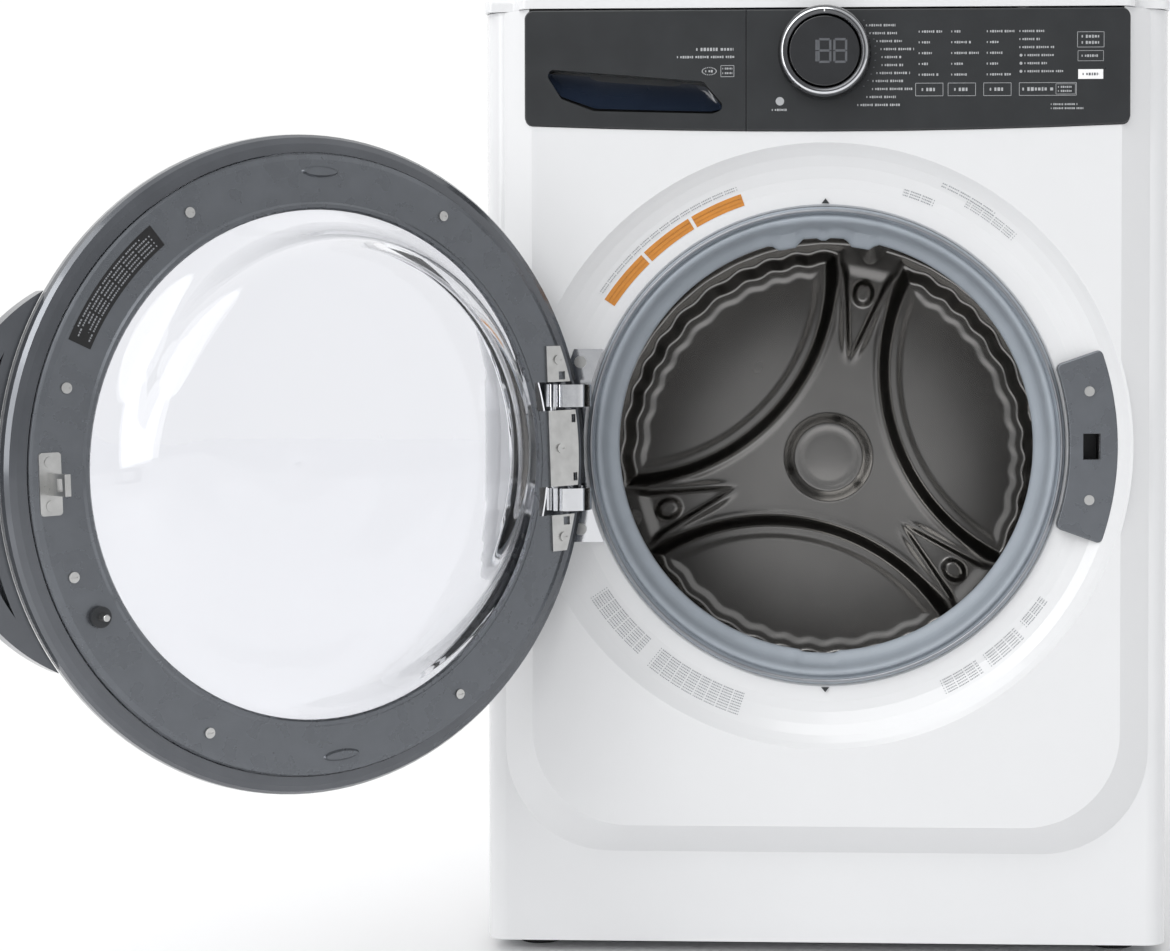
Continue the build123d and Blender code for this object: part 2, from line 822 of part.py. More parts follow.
# ================================================================ hinge
leaf_thick = 2.5
with BuildPart() as hinge_leaf:
    with BuildSketch(door_face(0)):
        with Locations((-(leaf_inner_x + plate_r) / 2, 0)):
            Rectangle(plate_r - leaf_inner_x, 2 * leaf_half_long)
        Circle(plate_r - 2, mode=Mode.INTERSECT)
        with Locations(*leaf_screws):
            Circle(screw_hole_r, mode=Mode.SUBTRACT)
        with Locations(*leaf_slots):
            Rectangle(7.5, 8, mode=Mode.SUBTRACT)
        for side in (-1, 1):
            with Locations((-260, side * (hinge_band_low + hinge_band_high) / 2)):
                Rectangle(60, hinge_band_high - hinge_band_low, mode=Mode.SUBTRACT)
    extrude(amount=-leaf_thick)
    with BuildSketch(door_level(mouth_z)) as web:
        with Locations((hinge_x, (hinge_y + plate_y) / 2)):
            Rectangle(knuckle_r, plate_y - hinge_y + 1)
    extrude(web.sketch, amount=hinge_band_low - 3, both=True)
    with Locations(hinge_line):
        Cylinder(knuckle_r, 2 * hinge_band_low - 6)
        Cylinder(pin_r + running_gap, 200, mode=Mode.SUBTRACT)
hinge_leaf.part.label = "hinge_leaf"
export_step(hinge_leaf.part, "parts/hinge_leaf.step")

dish_back = [
    (bezel_r - 48, dish_y - 0.2),
    (bezel_r - 43.6, dish_y - 0.5),
    (bezel_r - 33.6, face_y + 19.7),
    (bezel_r - 21.6, face_y + 15.3),
    (bezel_r - 11.6, face_y + 9.7),
    (bezel_r - 4.6, face_y + 4.1),
    (bezel_r + 6, face_y),
    (bezel_r + 6, dish_y + 8),
    (bezel_r - 48, dish_y + 8),
]


def clear_of_dish():
    """Cut back whatever reaches into the dish round the mouth"""
    turned(mouth_section, mouth_axis, dish_back, Mode.SUBTRACT)


bracket_screw_x = -246
bracket_screw_z = 84
arm_low = hinge_band_low + 3
arm_high = hinge_band_high - 3
with BuildPart() as hinge_bracket:
    with BuildSketch(facing(dish_y - 0.2)):
        with Locations((-239, 0)):
            RectangleRounded(46, 194, 9)
        with Locations((bracket_screw_x, -bracket_screw_z), (bracket_screw_x, bracket_screw_z)):
            Circle(screw_hole_r, mode=Mode.SUBTRACT)
        Circle(gasket_seat_r + 3, mode=Mode.SUBTRACT)
    extrude(amount=3)
    for side in (-1, 1):
        start = mouth_z + (arm_low if side > 0 else -arm_high)
        with BuildSketch(Plane.XY.offset(start)) as arm:
            with BuildLine() as arm_line:
                Spline(
                    (hinge_x + 24, dish_y - 2),
                    (hinge_x + 33.5, hinge_y + 14),
                    (hinge_x + 27, hinge_y - 13),
                    (hinge_x + 9, hinge_y - 19),
                    (hinge_x, hinge_y - 7),
                )
            trace(arm_line.line, line_width=4.4)
            with Locations((hinge_x, hinge_y)):
                Circle(9)
        extrude(arm.sketch, amount=arm_high - arm_low)
    with Locations(hinge_line):
        Cylinder(pin_r, 2 * arm_high)
    clear_of_dish()
hinge_bracket.part.label = "hinge_bracket"
export_step(hinge_bracket.part, "parts/hinge_bracket.step")

# ================================================================ lock
lock_half_angle = 19.5
lock_inner_r = 242.5
lock_outer_r = 291
lock_front_y = -386
with BuildPart() as lock_trim:
    with BuildSketch(facing(dish_y - 0.3)):
        Circle(lock_outer_r)
        Circle(lock_inner_r, mode=Mode.SUBTRACT)
        with BuildLine():
            Polyline((0, 0), polar(400, lock_half_angle), (480, 0), polar(400, -lock_half_angle), close=True)
        make_face(mode=Mode.INTERSECT)
    extrude(amount=dish_y - 0.3 - lock_front_y)
    fillet(lock_trim.edges().filter_by(Axis.Y), 6)
    fillet(lock_trim.faces().sort_by(Axis.Y)[0].edges(), 2)
    with Locations((strike_x, lock_front_y, mouth_z)):
        Box(17, 60, 26, mode=Mode.SUBTRACT)
    clear_of_dish()
lock_trim.part.label = "lock_trim"
export_step(lock_trim.part, "parts/lock_trim.step")

lock_back_y = -336
lock_left = 247
lock_right = 309
bolt_long = 28
bolt_left = strike_x + 11.5
with BuildPart() as lock_body:
    with Locations(((lock_left + lock_right) / 2, (dish_y + 3 + lock_back_y) / 2, mouth_z - 6)):
        Box(lock_right - lock_left, lock_back_y - dish_y - 3, 104)
    with Locations((strike_x, dish_y, mouth_z)):
        Box(17, 50, 26, mode=Mode.SUBTRACT)
    with Locations((lock_left + 9, bolt_y, mouth_z)):
        Box(
            200,
            bolt_size + 0.8,
            bolt_size + 0.8,
            align=(Align.MIN, Align.CENTER, Align.CENTER),
            mode=Mode.SUBTRACT,
        )
lock_body.part.label = "lock_body"
export_step(lock_body.part, "parts/lock_body.step")

with BuildPart() as lock_bolt:
    with Locations((bolt_left, bolt_y, mouth_z)):
        Box(bolt_long, bolt_size, bolt_size, align=(Align.MIN, Align.CENTER, Align.CENTER))
lock_bolt.part.label = "lock_bolt"
export_step(lock_bolt.part, "parts/lock_bolt.step")

# ================================================================ gasket
gasket_lip_r = 209
with BuildPart() as door_gasket:
    turned(
        mouth_section,
        mouth_axis,
        [
            (239.7, -371),
            (237, -376),
            (231, -378),
            (224, -375),
            (219, -366),
            (215, -357),
            (211, -353),
            (gasket_lip_r, -349),
            (210, -345),
            (217, -343.5),
            (223, -343),
            (224, -300),
            (231, -300),
            (232, -344),
            (236, -350),
            (239.7, -356),
        ],
    )
    split(bisect_by=across_tub(tub_front_s - 0.6), keep=Keep.TOP)
door_gasket.part.label = "door_gasket"
export_step(door_gasket.part, "parts/door_gasket.step")

with BuildPart() as gasket_clamp:
    with BuildSketch(mouth_section):
        with Locations((gasket_seat_r - 4.6, -379.4)):
            Circle(1.5)
    revolve(axis=mouth_axis)
gasket_clamp.part.label = "gasket_clamp"
export_step(gasket_clamp.part, "parts/gasket_clamp.step")

# ================================================================ tub
tub_inner_r = tub_r - tub_wall
flange_r = tub_r + 12
with BuildPart() as tub_front:
    turned(
        tub_section,
        tub_axis,
        [
            (224, tub_front_s),
            (290, tub_front_s + 3),
            (tub_r, tub_front_s + 14),
            (tub_r, tub_split_s - 6),
            (flange_r, tub_split_s - 6),
            (flange_r, tub_split_s),
            (tub_inner_r, tub_split_s),
            (tub_inner_r, tub_front_s + 16),
            (288, tub_front_s + 7),
            (228, tub_front_s + 4),
            (228, tub_front_s + 14),
            (224, tub_front_s + 14),
        ],
    )
tub_front.part.label = "tub_front"
export_step(tub_front.part, "parts/tub_front.step")

with BuildPart() as tub_rear:
    turned(
        tub_section,
        tub_axis,
        [
            (tub_inner_r, tub_split_s + 0.3),
            (flange_r, tub_split_s + 0.3),
            (flange_r, tub_split_s + 6.3),
            (tub_r, tub_split_s + 6.3),
            (tub_r, tub_back_s - 4),
            (288, tub_back_s + 12),
            (70, tub_back_s + 18),
            (46, tub_back_s + 24),
            (46, tub_back_s + 42),
            (bearing_r, tub_back_s + 42),
            (bearing_r, tub_back_s - 4),
            (44, tub_back_s - 4),
            (70, tub_back_s + 8),
            (284, tub_back_s + 2),
            (tub_inner_r, tub_back_s - 11),
        ],
    )
    with BuildSketch(across_tub(tub_back_s + 26)):
        with PolarLocations(165, 12):
            Rectangle(210, 4)
    extrude(amount=12)
tub_rear.part.label = "tub_rear"
export_step(tub_rear.part, "parts/tub_rear.step")

with BuildPart() as tub_bolts:
    with Locations(across_tub(tub_split_s - 6.1)):
        with PolarLocations(flange_r - 5.5, 16, start_angle=11):
            Cylinder(4.5, 4, align=(Align.CENTER, Align.CENTER, Align.MIN))
tub_bolts.part.label = "tub_bolts"
export_step(tub_bolts.part, "parts/tub_bolts.step")


def counterweight_sector(plane, inner, outer, start, stop, thick):
    """A cast sector of a ring, from one angle to another, standing forward of its plane"""
    with BuildSketch(plane) as shape:
        Circle(outer)
        Circle(inner, mode=Mode.SUBTRACT)
        middle = (start + stop) / 2
        with BuildLine():
            Polyline(
                (0, 0),
                polar(600, start),
                polar(900, (start + middle) / 2),
                polar(900, middle),
                polar(900, (stop + middle) / 2),
                polar(600, stop),
                close=True,
            )
        make_face(mode=Mode.INTERSECT)
        fillet(shape.vertices(), 8)
    extrude(shape.sketch, amount=thick)


with BuildPart() as counterweights:
    counterweight_sector(across_tub(tub_front_s - 0.4), 248, 292, 18, 162, 30)
    with BuildSketch(across_tub(230)):
        with BuildLine():
            Polyline((-40, 250), (190, 200), (190, 328), (-40, 328), close=True)
        make_face()
        Circle(tub_r + 0.5, mode=Mode.SUBTRACT)
    extrude(amount=130)
counterweights.part.label = "counterweights"
export_step(counterweights.part, "parts/counterweights.step")

# ================================================================ drum
with BuildPart() as drum_shell:
    turned(
        tub_section,
        tub_axis,
        [
            (229, drum_front_s + 2),
            (233, drum_front_s),
            (262, drum_front_s),
            (272, drum_front_s + 5),
            (drum_r, drum_front_s + 14),
            (drum_r, drum_back_s),
            (drum_r - drum_wall, drum_back_s),
            (drum_r - drum_wall, drum_front_s + 14.4),
            (271, drum_front_s + 6),
            (261.7, drum_front_s + drum_wall),
            (233, drum_front_s + drum_wall),
            (229, drum_front_s + 3.4),
        ],
    )
drum_shell.part.label = "drum_shell"
export_step(drum_shell.part, "parts/drum_shell.step")

star_y = drum_back_s - 18
panel_swing_r = 260
panel_centre_r = 345
panel_outer_r = 246
back_sheet = 1.5


def leaf_panels(s, spread):
    """Three leaf-shaped panels between the arms of the drum's star"""
    with BuildSketch(across_tub(s)) as shape:
        with PolarLocations(panel_centre_r, 3, start_angle=star_angles[0] + 60):
            Circle(panel_swing_r + spread)
        Circle(panel_outer_r + spread, mode=Mode.INTERSECT)
    return shape.sketch


with BuildPart() as drum_back:
    with BuildSketch(across_tub(star_y)):
        Circle(drum_r - drum_wall - 0.1)
    extrude(amount=-back_sheet)
    extrude(leaf_panels(star_y - 1, 0), amount=-14, mode=Mode.SUBTRACT)
    extrude(leaf_panels(star_y, back_sheet), amount=-13)
    extrude(leaf_panels(star_y - 1, 0), amount=-12.5, mode=Mode.SUBTRACT)
    with Locations(across_tub(star_y)):
        Cylinder(47, 4, align=(Align.CENTER, Align.CENTER, Align.MIN))
        Cylinder(36, 8, align=(Align.CENTER, Align.CENTER, Align.MIN), mode=Mode.SUBTRACT)
drum_back.part.label = "drum_back"
export_step(drum_back.part, "parts/drum_back.step")

with BuildPart() as drum_spider:
    with BuildSketch(across_tub(drum_back_s + 26)):
        Circle(40)
        with PolarLocations(150, 3, start_angle=star_angles[0]):
            Rectangle(236, 40)
    extrude(amount=24)
    with Locations(across_tub(drum_back_s + 4)):
        Cylinder(shaft_r, 144, align=(Align.CENTER, Align.CENTER, Align.MAX))
    chamfer(drum_spider.edges().filter_by(GeomType.CIRCLE).sort_by(Axis.Y)[-1], 1.5)
drum_spider.part.label = "drum_spider"
export_step(drum_spider.part, "parts/drum_spider.step")

baffle_long = 320
baffle_high = 44
with BuildPart() as drum_baffles:
    with BuildSketch(across_tub(star_y - 40)):
        with PolarLocations(drum_r - drum_wall - 0.4, 3, start_angle=star_angles[0]):
            Polygon(
                (4, -34),
                (4, 34),
                (-20, 18),
                (-baffle_high, 9),
                (-baffle_high, -9),
                (-20, -18),
                align=None,
            )
        Circle(drum_r - drum_wall - 0.4, mode=Mode.INTERSECT)
    extrude(amount=baffle_long)
drum_baffles.part.label = "drum_baffles"
export_step(drum_baffles.part, "parts/drum_baffles.step")

with BuildPart() as drum_bearings:
    for bearing_s in (tub_back_s + 14, tub_back_s + 40):
        with Locations(across_tub(bearing_s)):
            Cylinder(bearing_r - 0.02, 14, align=(Align.CENTER, Align.CENTER, Align.MIN))
            Cylinder(shaft_r + running_gap, 40, mode=Mode.SUBTRACT)
drum_bearings.part.label = "drum_bearings"
export_step(drum_bearings.part, "parts/drum_bearings.step")

with BuildPart() as drum_pulley:
    with BuildSketch(across_tub(pulley_s + pulley_width)):
        Circle(pulley_r)
        Circle(pulley_r - 10, mode=Mode.SUBTRACT)
        Circle(30)
        with PolarLocations(85, 5):
            Rectangle(120, 22)
        Circle(shaft_r + 0.02, mode=Mode.SUBTRACT)
    extrude(amount=pulley_width)
drum_pulley.part.label = "drum_pulley"
export_step(drum_pulley.part, "parts/drum_pulley.step")

# ================================================================ motor
belt_thick = 3


def belt_loop(spread):
    """A loop round both pulleys, spread outwards from their rims"""
    with BuildSketch(across_tub(pulley_s + pulley_width - 1)) as loop:
        Circle(pulley_r + spread)
        with Locations((motor_x, -motor_drop)):
            Circle(motor_pulley_r + spread)
        make_hull()
    return loop.sketch


with BuildPart() as drive_belt:
    extrude(belt_loop(0.2 + belt_thick), amount=pulley_width - 2)
    extrude(belt_loop(0.2), amount=pulley_width - 2, mode=Mode.SUBTRACT)
drive_belt.part.label = "drive_belt"
export_step(drive_belt.part, "parts/drive_belt.step")

motor_r = 56
rotor_r = 38
motor_front_s = 440
motor_back_s = 596
with BuildPart() as motor_housing:
    with Locations(across_tub(motor_back_s)):
        with Locations((motor_x, -motor_drop)):
            Cylinder(motor_r, motor_back_s - motor_front_s, align=(Align.CENTER, Align.CENTER, Align.MIN))
            with Locations((0, 0, 8)):
                Cylinder(
                    rotor_r + 1,
                    motor_back_s - motor_front_s - 16,
                    align=(Align.CENTER, Align.CENTER, Align.MIN),
                    mode=Mode.SUBTRACT,
                )
            Cylinder(8.05, 60, mode=Mode.SUBTRACT)
            for fin_z in range(20, 130, 14):
                with Locations((0, 0, fin_z)):
                    Cylinder(motor_r + 1, 5, mode=Mode.SUBTRACT)
                    Cylinder(motor_r - 2.5, 5)
                    Cylinder(rotor_r + 1, 6, mode=Mode.SUBTRACT)
motor_housing.part.label = "motor_housing"
export_step(motor_housing.part, "parts/motor_housing.step")

with BuildPart() as motor_rotor:
    with Locations(across_tub(motor_back_s - 12)):
        with Locations((motor_x, -motor_drop)):
            Cylinder(rotor_r, motor_back_s - motor_front_s - 28, align=(Align.CENTER, Align.CENTER, Align.MIN))
            Cylinder(8, 52, align=(Align.CENTER, Align.CENTER, Align.MAX))
    with Locations(across_tub(pulley_s + pulley_width)):
        with Locations((motor_x, -motor_drop)):
            Cylinder(motor_pulley_r, pulley_width, align=(Align.CENTER, Align.CENTER, Align.MIN))
motor_rotor.part.label = "motor_rotor"
export_step(motor_rotor.part, "parts/motor_rotor.step")

heater_r = 4
with BuildPart() as heater_element:
    with BuildLine():
        heater_path = FilletPolyline(
            tub_point(-26, -286, 545),
            tub_point(-26, -286, 300),
            tub_point(26, -286, 300),
            tub_point(26, -286, 545),
            radius=24,
        )
    with BuildSketch(Plane(origin=heater_path @ 0, z_dir=heater_path % 0)):
        Circle(heater_r)
    sweep()
heater_element.part.label = "heater_element"
export_step(heater_element.part, "parts/heater_element.step")

# ================================================================ suspension
spring_low = 668
spring_wire_r = 1.8
spring_coil_r = 12
with BuildPart() as suspension_springs:
    for side in (-1, 1):
        for spring_y in spring_ys:
            with Locations((side * spring_x, spring_y, spring_low + 2)):
                Cylinder(
                    spring_coil_r + spring_wire_r,
                    rail_z - spring_low - 4,
                    align=(Align.CENTER, Align.CENTER, Align.MIN),
                )
                Cylinder(
                    spring_coil_r - spring_wire_r,
                    rail_z,
                    align=(Align.CENTER, Align.CENTER, Align.MIN),
                    mode=Mode.SUBTRACT,
                )
suspension_springs.part.label = "suspension_springs"
export_step(suspension_springs.part, "parts/suspension_springs.step")


def clear_of_tub():
    """Cut back whatever reaches inside the tub's round wall"""
    turned(
        tub_section,
        tub_axis,
        [(0, tub_front_s), (tub_r + 0.3, tub_front_s), (tub_r + 0.3, tub_back_s), (0, tub_back_s)],
        Mode.SUBTRACT,
    )


with BuildPart() as tub_brackets:
    for side in (-1, 1):
        for spring_y in spring_ys:
            with Locations((side * (spring_x - 18), spring_y, spring_low)):
                Box(64, 34, 90, align=(Align.CENTER, Align.CENTER, Align.MAX))
    clear_of_tub()
    for side in (-1, 1):
        with Locations((side * 340, 0, 0)):
            Box(70, 1000, 3000, mode=Mode.SUBTRACT)
    with BuildSketch(across_tub(motor_front_s + 40)):
        with Locations((motor_x, -motor_drop + 40)):
            Rectangle(130, 76)
        Circle(tub_r + 0.3, mode=Mode.SUBTRACT)
        with Locations((motor_x, -motor_drop)):
            Circle(motor_r + 0.2, mode=Mode.SUBTRACT)
    extrude(amount=24)
tub_brackets.part.label = "tub_brackets"
export_step(tub_brackets.part, "parts/tub_brackets.step")

damper_low = base_z + 2.2
damper_high = 152
with BuildPart() as damper_cylinders:
    for side in (-1, 1):
        for damper_y in damper_ys:
            with Locations((side * damper_x, damper_y, damper_low)):
                Cylinder(damper_r, damper_high - damper_low, align=(Align.CENTER, Align.CENTER, Align.MIN))
                with Locations((0, 0, 10)):
                    Cylinder(
                        rod_r + running_gap,
                        damper_high,
                        align=(Align.CENTER, Align.CENTER, Align.MIN),
                        mode=Mode.SUBTRACT,
                    )
damper_cylinders.part.label = "damper_cylinders"
export_step(damper_cylinders.part, "parts/damper_cylinders.step")

with BuildPart() as damper_rods:
    for side in (-1, 1):
        for damper_y in damper_ys:
            with Locations((side * damper_x, damper_y, 50)):
                Cylinder(rod_r, 300, align=(Align.CENTER, Align.CENTER, Align.MIN))
            with Locations((side * damper_x, damper_y, 350)):
                Box(30, 34, 150, align=(Align.CENTER, Align.CENTER, Align.MAX))
    clear_of_tub()
damper_rods.part.label = "damper_rods"
export_step(damper_rods.part, "parts/damper_rods.step")

# ================================================================ water
with BuildPart() as drain_pump:
    with Locations(facing(pump_y + pump_long / 2, pump_x, pump_z)):
        Cylinder(pump_r, pump_long, align=(Align.CENTER, Align.CENTER, Align.MIN))
    with Locations((pump_x, pump_y, base_z + 2.2)):
        Box(60, 50, 24, align=(Align.CENTER, Align.CENTER, Align.MIN))
    with Locations(facing(pump_y + pump_long / 2, pump_x, pump_z)):
        with Locations((0, 0, 10)):
            Cylinder(26, 44, align=(Align.CENTER, Align.CENTER, Align.MIN), mode=Mode.SUBTRACT)
        Cylinder(3 + running_gap, 30, mode=Mode.SUBTRACT)
    with Locations((pump_x, pump_y, pump_z)):
        Cylinder(13, 60, align=(Align.CENTER, Align.CENTER, Align.MIN), mode=Mode.SUBTRACT)
drain_pump.part.label = "drain_pump"
export_step(drain_pump.part, "parts/drain_pump.step")

with BuildPart() as pump_impeller:
    with Locations(facing(pump_y + pump_long / 2 - 1, pump_x, pump_z)):
        Cylinder(3, 20, align=(Align.CENTER, Align.CENTER, Align.MIN))
    with BuildSketch(facing(pump_y + pump_long / 2 - 13, pump_x, pump_z)):
        Circle(6)
        with PolarLocations(13, 6):
            Rectangle(18, 2.4)
    extrude(amount=20)
pump_impeller.part.label = "pump_impeller"
export_step(pump_impeller.part, "parts/pump_impeller.step")

with BuildPart() as sump_hose:
    with Locations((pump_x, pump_y, pump_z + pump_r + 0.6)):
        Cylinder(21, 200, align=(Align.CENTER, Align.CENTER, Align.MIN))
        Cylinder(17, 200, align=(Align.CENTER, Align.CENTER, Align.MIN), mode=Mode.SUBTRACT)
    clear_of_tub()
    split(bisect_by=Plane.XY.offset(260), keep=Keep.BOTTOM)
sump_hose.part.label = "sump_hose"
export_step(sump_hose.part, "parts/sump_hose.step")

with BuildPart() as inlet_valves:
    with Locations(((valve_xs[0] + valve_xs[1]) / 2, rear_y - 36, valve_z)):
        Box(110, 52, 40)
    for valve_x in valve_xs:
        with Locations(facing(rear_y + 20, valve_x, valve_z)):
            Cylinder(inlet_r, 40, align=(Align.CENTER, Align.CENTER, Align.MIN))
            Cylinder(8, 50, mode=Mode.SUBTRACT)
inlet_valves.part.label = "inlet_valves"
export_step(inlet_valves.part, "parts/inlet_valves.step")

with BuildPart() as drain_outlet:
    with Locations(facing(rear_y + 26, drain_x, drain_z)):
        Cylinder(spigot_r, 60, align=(Align.CENTER, Align.CENTER, Align.MIN))
        with Locations((0, 0, 28)):
            Cylinder(18, 5, align=(Align.CENTER, Align.CENTER, Align.MIN))
        Cylinder(8.5, 300, mode=Mode.SUBTRACT)
drain_outlet.part.label = "drain_outlet"
export_step(drain_outlet.part, "parts/drain_outlet.step")

with BuildPart() as cord_gland:
    with Locations(facing(rear_y + 8, gland_x, gland_z)):
        Cylinder(14, 7.5, align=(Align.CENTER, Align.CENTER, Align.MIN))
        Cylinder(gland_r, 18, align=(Align.CENTER, Align.CENTER, Align.MIN))
        Cylinder(cord_r, 60, mode=Mode.SUBTRACT)
cord_gland.part.label = "cord_gland"
export_step(cord_gland.part, "parts/cord_gland.step")

# ================================================================ screws in the cabinet
with BuildPart() as fixing_screws:
    for screw_z in (-bracket_screw_z, bracket_screw_z):
        tapped_stud(facing(dish_y - 3.3, bracket_screw_x, mouth_z + screw_z), screw_r, 2.2, 6, 2.4)
    for screw_z in (-53, 55):
        with Locations(facing(lock_front_y - 0.1, 262, mouth_z + screw_z)):
            Cylinder(5, 1.6, align=(Align.CENTER, Align.CENTER, Align.MIN))
    for screw_x in (-1, 1):
        for screw_z in (-1, 0, 1):
            place = facing(
                rear_y + 1.3,
                screw_x * (access_half + rear_overlap / 2),
                (access_low + access_high) / 2 + screw_z * (rear_panel_high / 2 - 12),
            )
            with Locations(place):
                Cylinder(5, 2.2, align=(Align.CENTER, Align.CENTER, Align.MAX))
fixing_screws.part.label = "fixing_screws"
export_step(fixing_screws.part, "parts/fixing_screws.step")
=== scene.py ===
import math
from math import cos, pi, radians, sin

import bpy
import numpy as np
from mathutils import Matrix, Vector
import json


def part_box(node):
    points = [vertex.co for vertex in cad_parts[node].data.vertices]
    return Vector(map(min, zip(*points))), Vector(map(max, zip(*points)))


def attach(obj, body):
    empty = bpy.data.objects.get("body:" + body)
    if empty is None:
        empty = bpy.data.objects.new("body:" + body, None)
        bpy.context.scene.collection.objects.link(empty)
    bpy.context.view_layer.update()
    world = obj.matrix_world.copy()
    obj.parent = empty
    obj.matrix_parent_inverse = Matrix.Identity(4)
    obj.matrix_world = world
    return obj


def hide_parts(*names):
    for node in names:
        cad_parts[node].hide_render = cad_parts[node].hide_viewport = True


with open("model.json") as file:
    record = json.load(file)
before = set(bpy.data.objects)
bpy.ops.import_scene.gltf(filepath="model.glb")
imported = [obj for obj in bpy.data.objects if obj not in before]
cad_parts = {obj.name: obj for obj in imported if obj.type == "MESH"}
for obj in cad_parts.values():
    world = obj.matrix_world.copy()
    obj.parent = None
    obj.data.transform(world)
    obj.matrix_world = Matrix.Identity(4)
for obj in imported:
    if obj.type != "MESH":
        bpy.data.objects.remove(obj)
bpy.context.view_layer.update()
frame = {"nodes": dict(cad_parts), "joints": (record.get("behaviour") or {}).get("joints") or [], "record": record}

# Everything is in metres, in the row frame: +X right, +Y back, +Z up.
# mm turns the design's millimetres into metres.
mm = 0.001
nodes = frame["nodes"]
joints = {j["name"]: j for j in frame["joints"]}

# ------------------------------------------------------------------ the design's frames
MOUTH_Z = joints["door_hinge"]["pos_m"][2]
HINGE = Vector(joints["door_hinge"]["pos_m"])
OPEN = radians(joints["door_hinge"]["range_deg"][1])
PLATE_Y = -0.389
CONSOLE_Y = -0.397
# CONSOLE_FACE is where print lies on the console, in mm out along FRONT.
CONSOLE_FACE = -CONSOLE_Y / mm + 0.03


def frame_of(origin, x_axis, y_axis, z_axis):
    """A matrix that carries local x, y and z to three axes at an origin"""
    m = Matrix.Identity(4)
    for column, axis in enumerate((x_axis, y_axis, z_axis)):
        for row in range(3):
            m[row][column] = axis[row]
    m.translation = origin
    return m


X, Y, Z = Vector((1, 0, 0)), Vector((0, 1, 0)), Vector((0, 0, 1))
# FRONT: local x is right, local y is up, local z comes out of the front, from Y = 0.
FRONT = frame_of(Vector((0, 0, 0)), X, Z, -Y)
MOUTH = frame_of(Vector((0, 0, MOUTH_Z)), X, Z, -Y)
TUB_BACK = Vector(joints["drum_spin"]["axis"])
TUB_UP = X.cross(TUB_BACK)
TUB = frame_of(Vector((0, -0.352, MOUTH_Z)), X, TUB_UP, -TUB_BACK)
HINGE_LINE = Vector(joints["door_hinge"]["axis"])
SWING = Matrix.Translation(HINGE) @ Matrix.Rotation(-OPEN, 4, HINGE_LINE) @ Matrix.Translation(-HINGE)
DOOR = SWING @ frame_of(Vector((0, PLATE_Y, MOUTH_Z)), X, Z, -Y)
# INSIDE is the door's inner face, seen from the drum: local z comes out of that face.
INSIDE = SWING @ frame_of(Vector((0, PLATE_Y, MOUTH_Z)), X, -Z, Y)


# ------------------------------------------------------------------ camera
def make_camera():
    """A long lens, a little right of the mouth and above it, turned slightly left and down"""
    camera = bpy.data.cameras.new("camera")
    camera.sensor_width = 36.0
    camera.lens = 68.7
    camera.shift_x = -0.15
    camera.shift_y = -0.06
    camera.clip_end = 60
    seat = bpy.data.objects.new("camera", camera)
    bpy.context.scene.collection.objects.link(seat)
    yaw = radians(2.1)
    pitch = radians(1.22)
    seat.matrix_world = (
        Matrix.Translation((0.017, -2.6114, 0.6033))
        @ Matrix.Rotation(yaw, 4, "Z")
        @ Matrix.Rotation(pi / 2 - pitch, 4, "X")
    )
    bpy.context.scene.camera = seat


make_camera()


# ------------------------------------------------------------------ materials
def material(
    name,
    base,
    rough,
    metallic=0.0,
    tint=0.04,
    grain=40.0,
    bump=0.0,
    bump_scale=400.0,
    rough_swing=0.05,
    stretch=(1, 1, 1),
    coat=0.0,
    specular=0.5,
    transmission=0.0,
    ior=1.45,
):
    """A surface with slow colour and gloss variation and a fine bump, all from noise"""
    made = bpy.data.materials.new(name)
    made.use_nodes = True
    tree = made.node_tree
    links = tree.links
    shader = tree.nodes["Principled BSDF"]
    shader.inputs["Metallic"].default_value = metallic
    shader.inputs["Coat Weight"].default_value = coat
    shader.inputs["Coat Roughness"].default_value = 0.06
    shader.inputs["Specular IOR Level"].default_value = specular
    shader.inputs["Transmission Weight"].default_value = transmission
    shader.inputs["IOR"].default_value = ior
    where = tree.nodes.new("ShaderNodeTexCoord")
    mapping = tree.nodes.new("ShaderNodeMapping")
    mapping.inputs["Scale"].default_value = stretch
    links.new(where.outputs["Object"], mapping.inputs["Vector"])
    noise = tree.nodes.new("ShaderNodeTexNoise")
    noise.inputs["Scale"].default_value = grain
    noise.inputs["Detail"].default_value = 4
    links.new(mapping.outputs["Vector"], noise.inputs["Vector"])
    ramp = tree.nodes.new("ShaderNodeValToRGB")
    dark = [c * (1 - tint) for c in base]
    light = [min(1.0, c * (1 + tint)) for c in base]
    ramp.color_ramp.elements[0].position = 0.3
    ramp.color_ramp.elements[1].position = 0.7
    ramp.color_ramp.elements[0].color = (*dark, 1)
    ramp.color_ramp.elements[1].color = (*light, 1)
    links.new(noise.outputs["Fac"], ramp.inputs["Fac"])
    links.new(ramp.outputs["Color"], shader.inputs["Base Color"])
    gloss = tree.nodes.new("ShaderNodeMapRange")
    gloss.inputs["To Min"].default_value = max(0.0, rough - rough_swing)
    gloss.inputs["To Max"].default_value = min(1.0, rough + rough_swing)
    links.new(noise.outputs["Fac"], gloss.inputs["Value"])
    links.new(gloss.outputs["Result"], shader.inputs["Roughness"])
    if bump:
        fine = tree.nodes.new("ShaderNodeTexNoise")
        fine.inputs["Scale"].default_value = bump_scale
        fine.inputs["Detail"].default_value = 2
        links.new(mapping.outputs["Vector"], fine.inputs["Vector"])
        relief = tree.nodes.new("ShaderNodeBump")
        relief.inputs["Strength"].default_value = bump
        relief.inputs["Distance"].default_value = 0.0005
        links.new(fine.outputs["Fac"], relief.inputs["Height"])
        links.new(relief.outputs["Normal"], shader.inputs["Normal"])
    return made


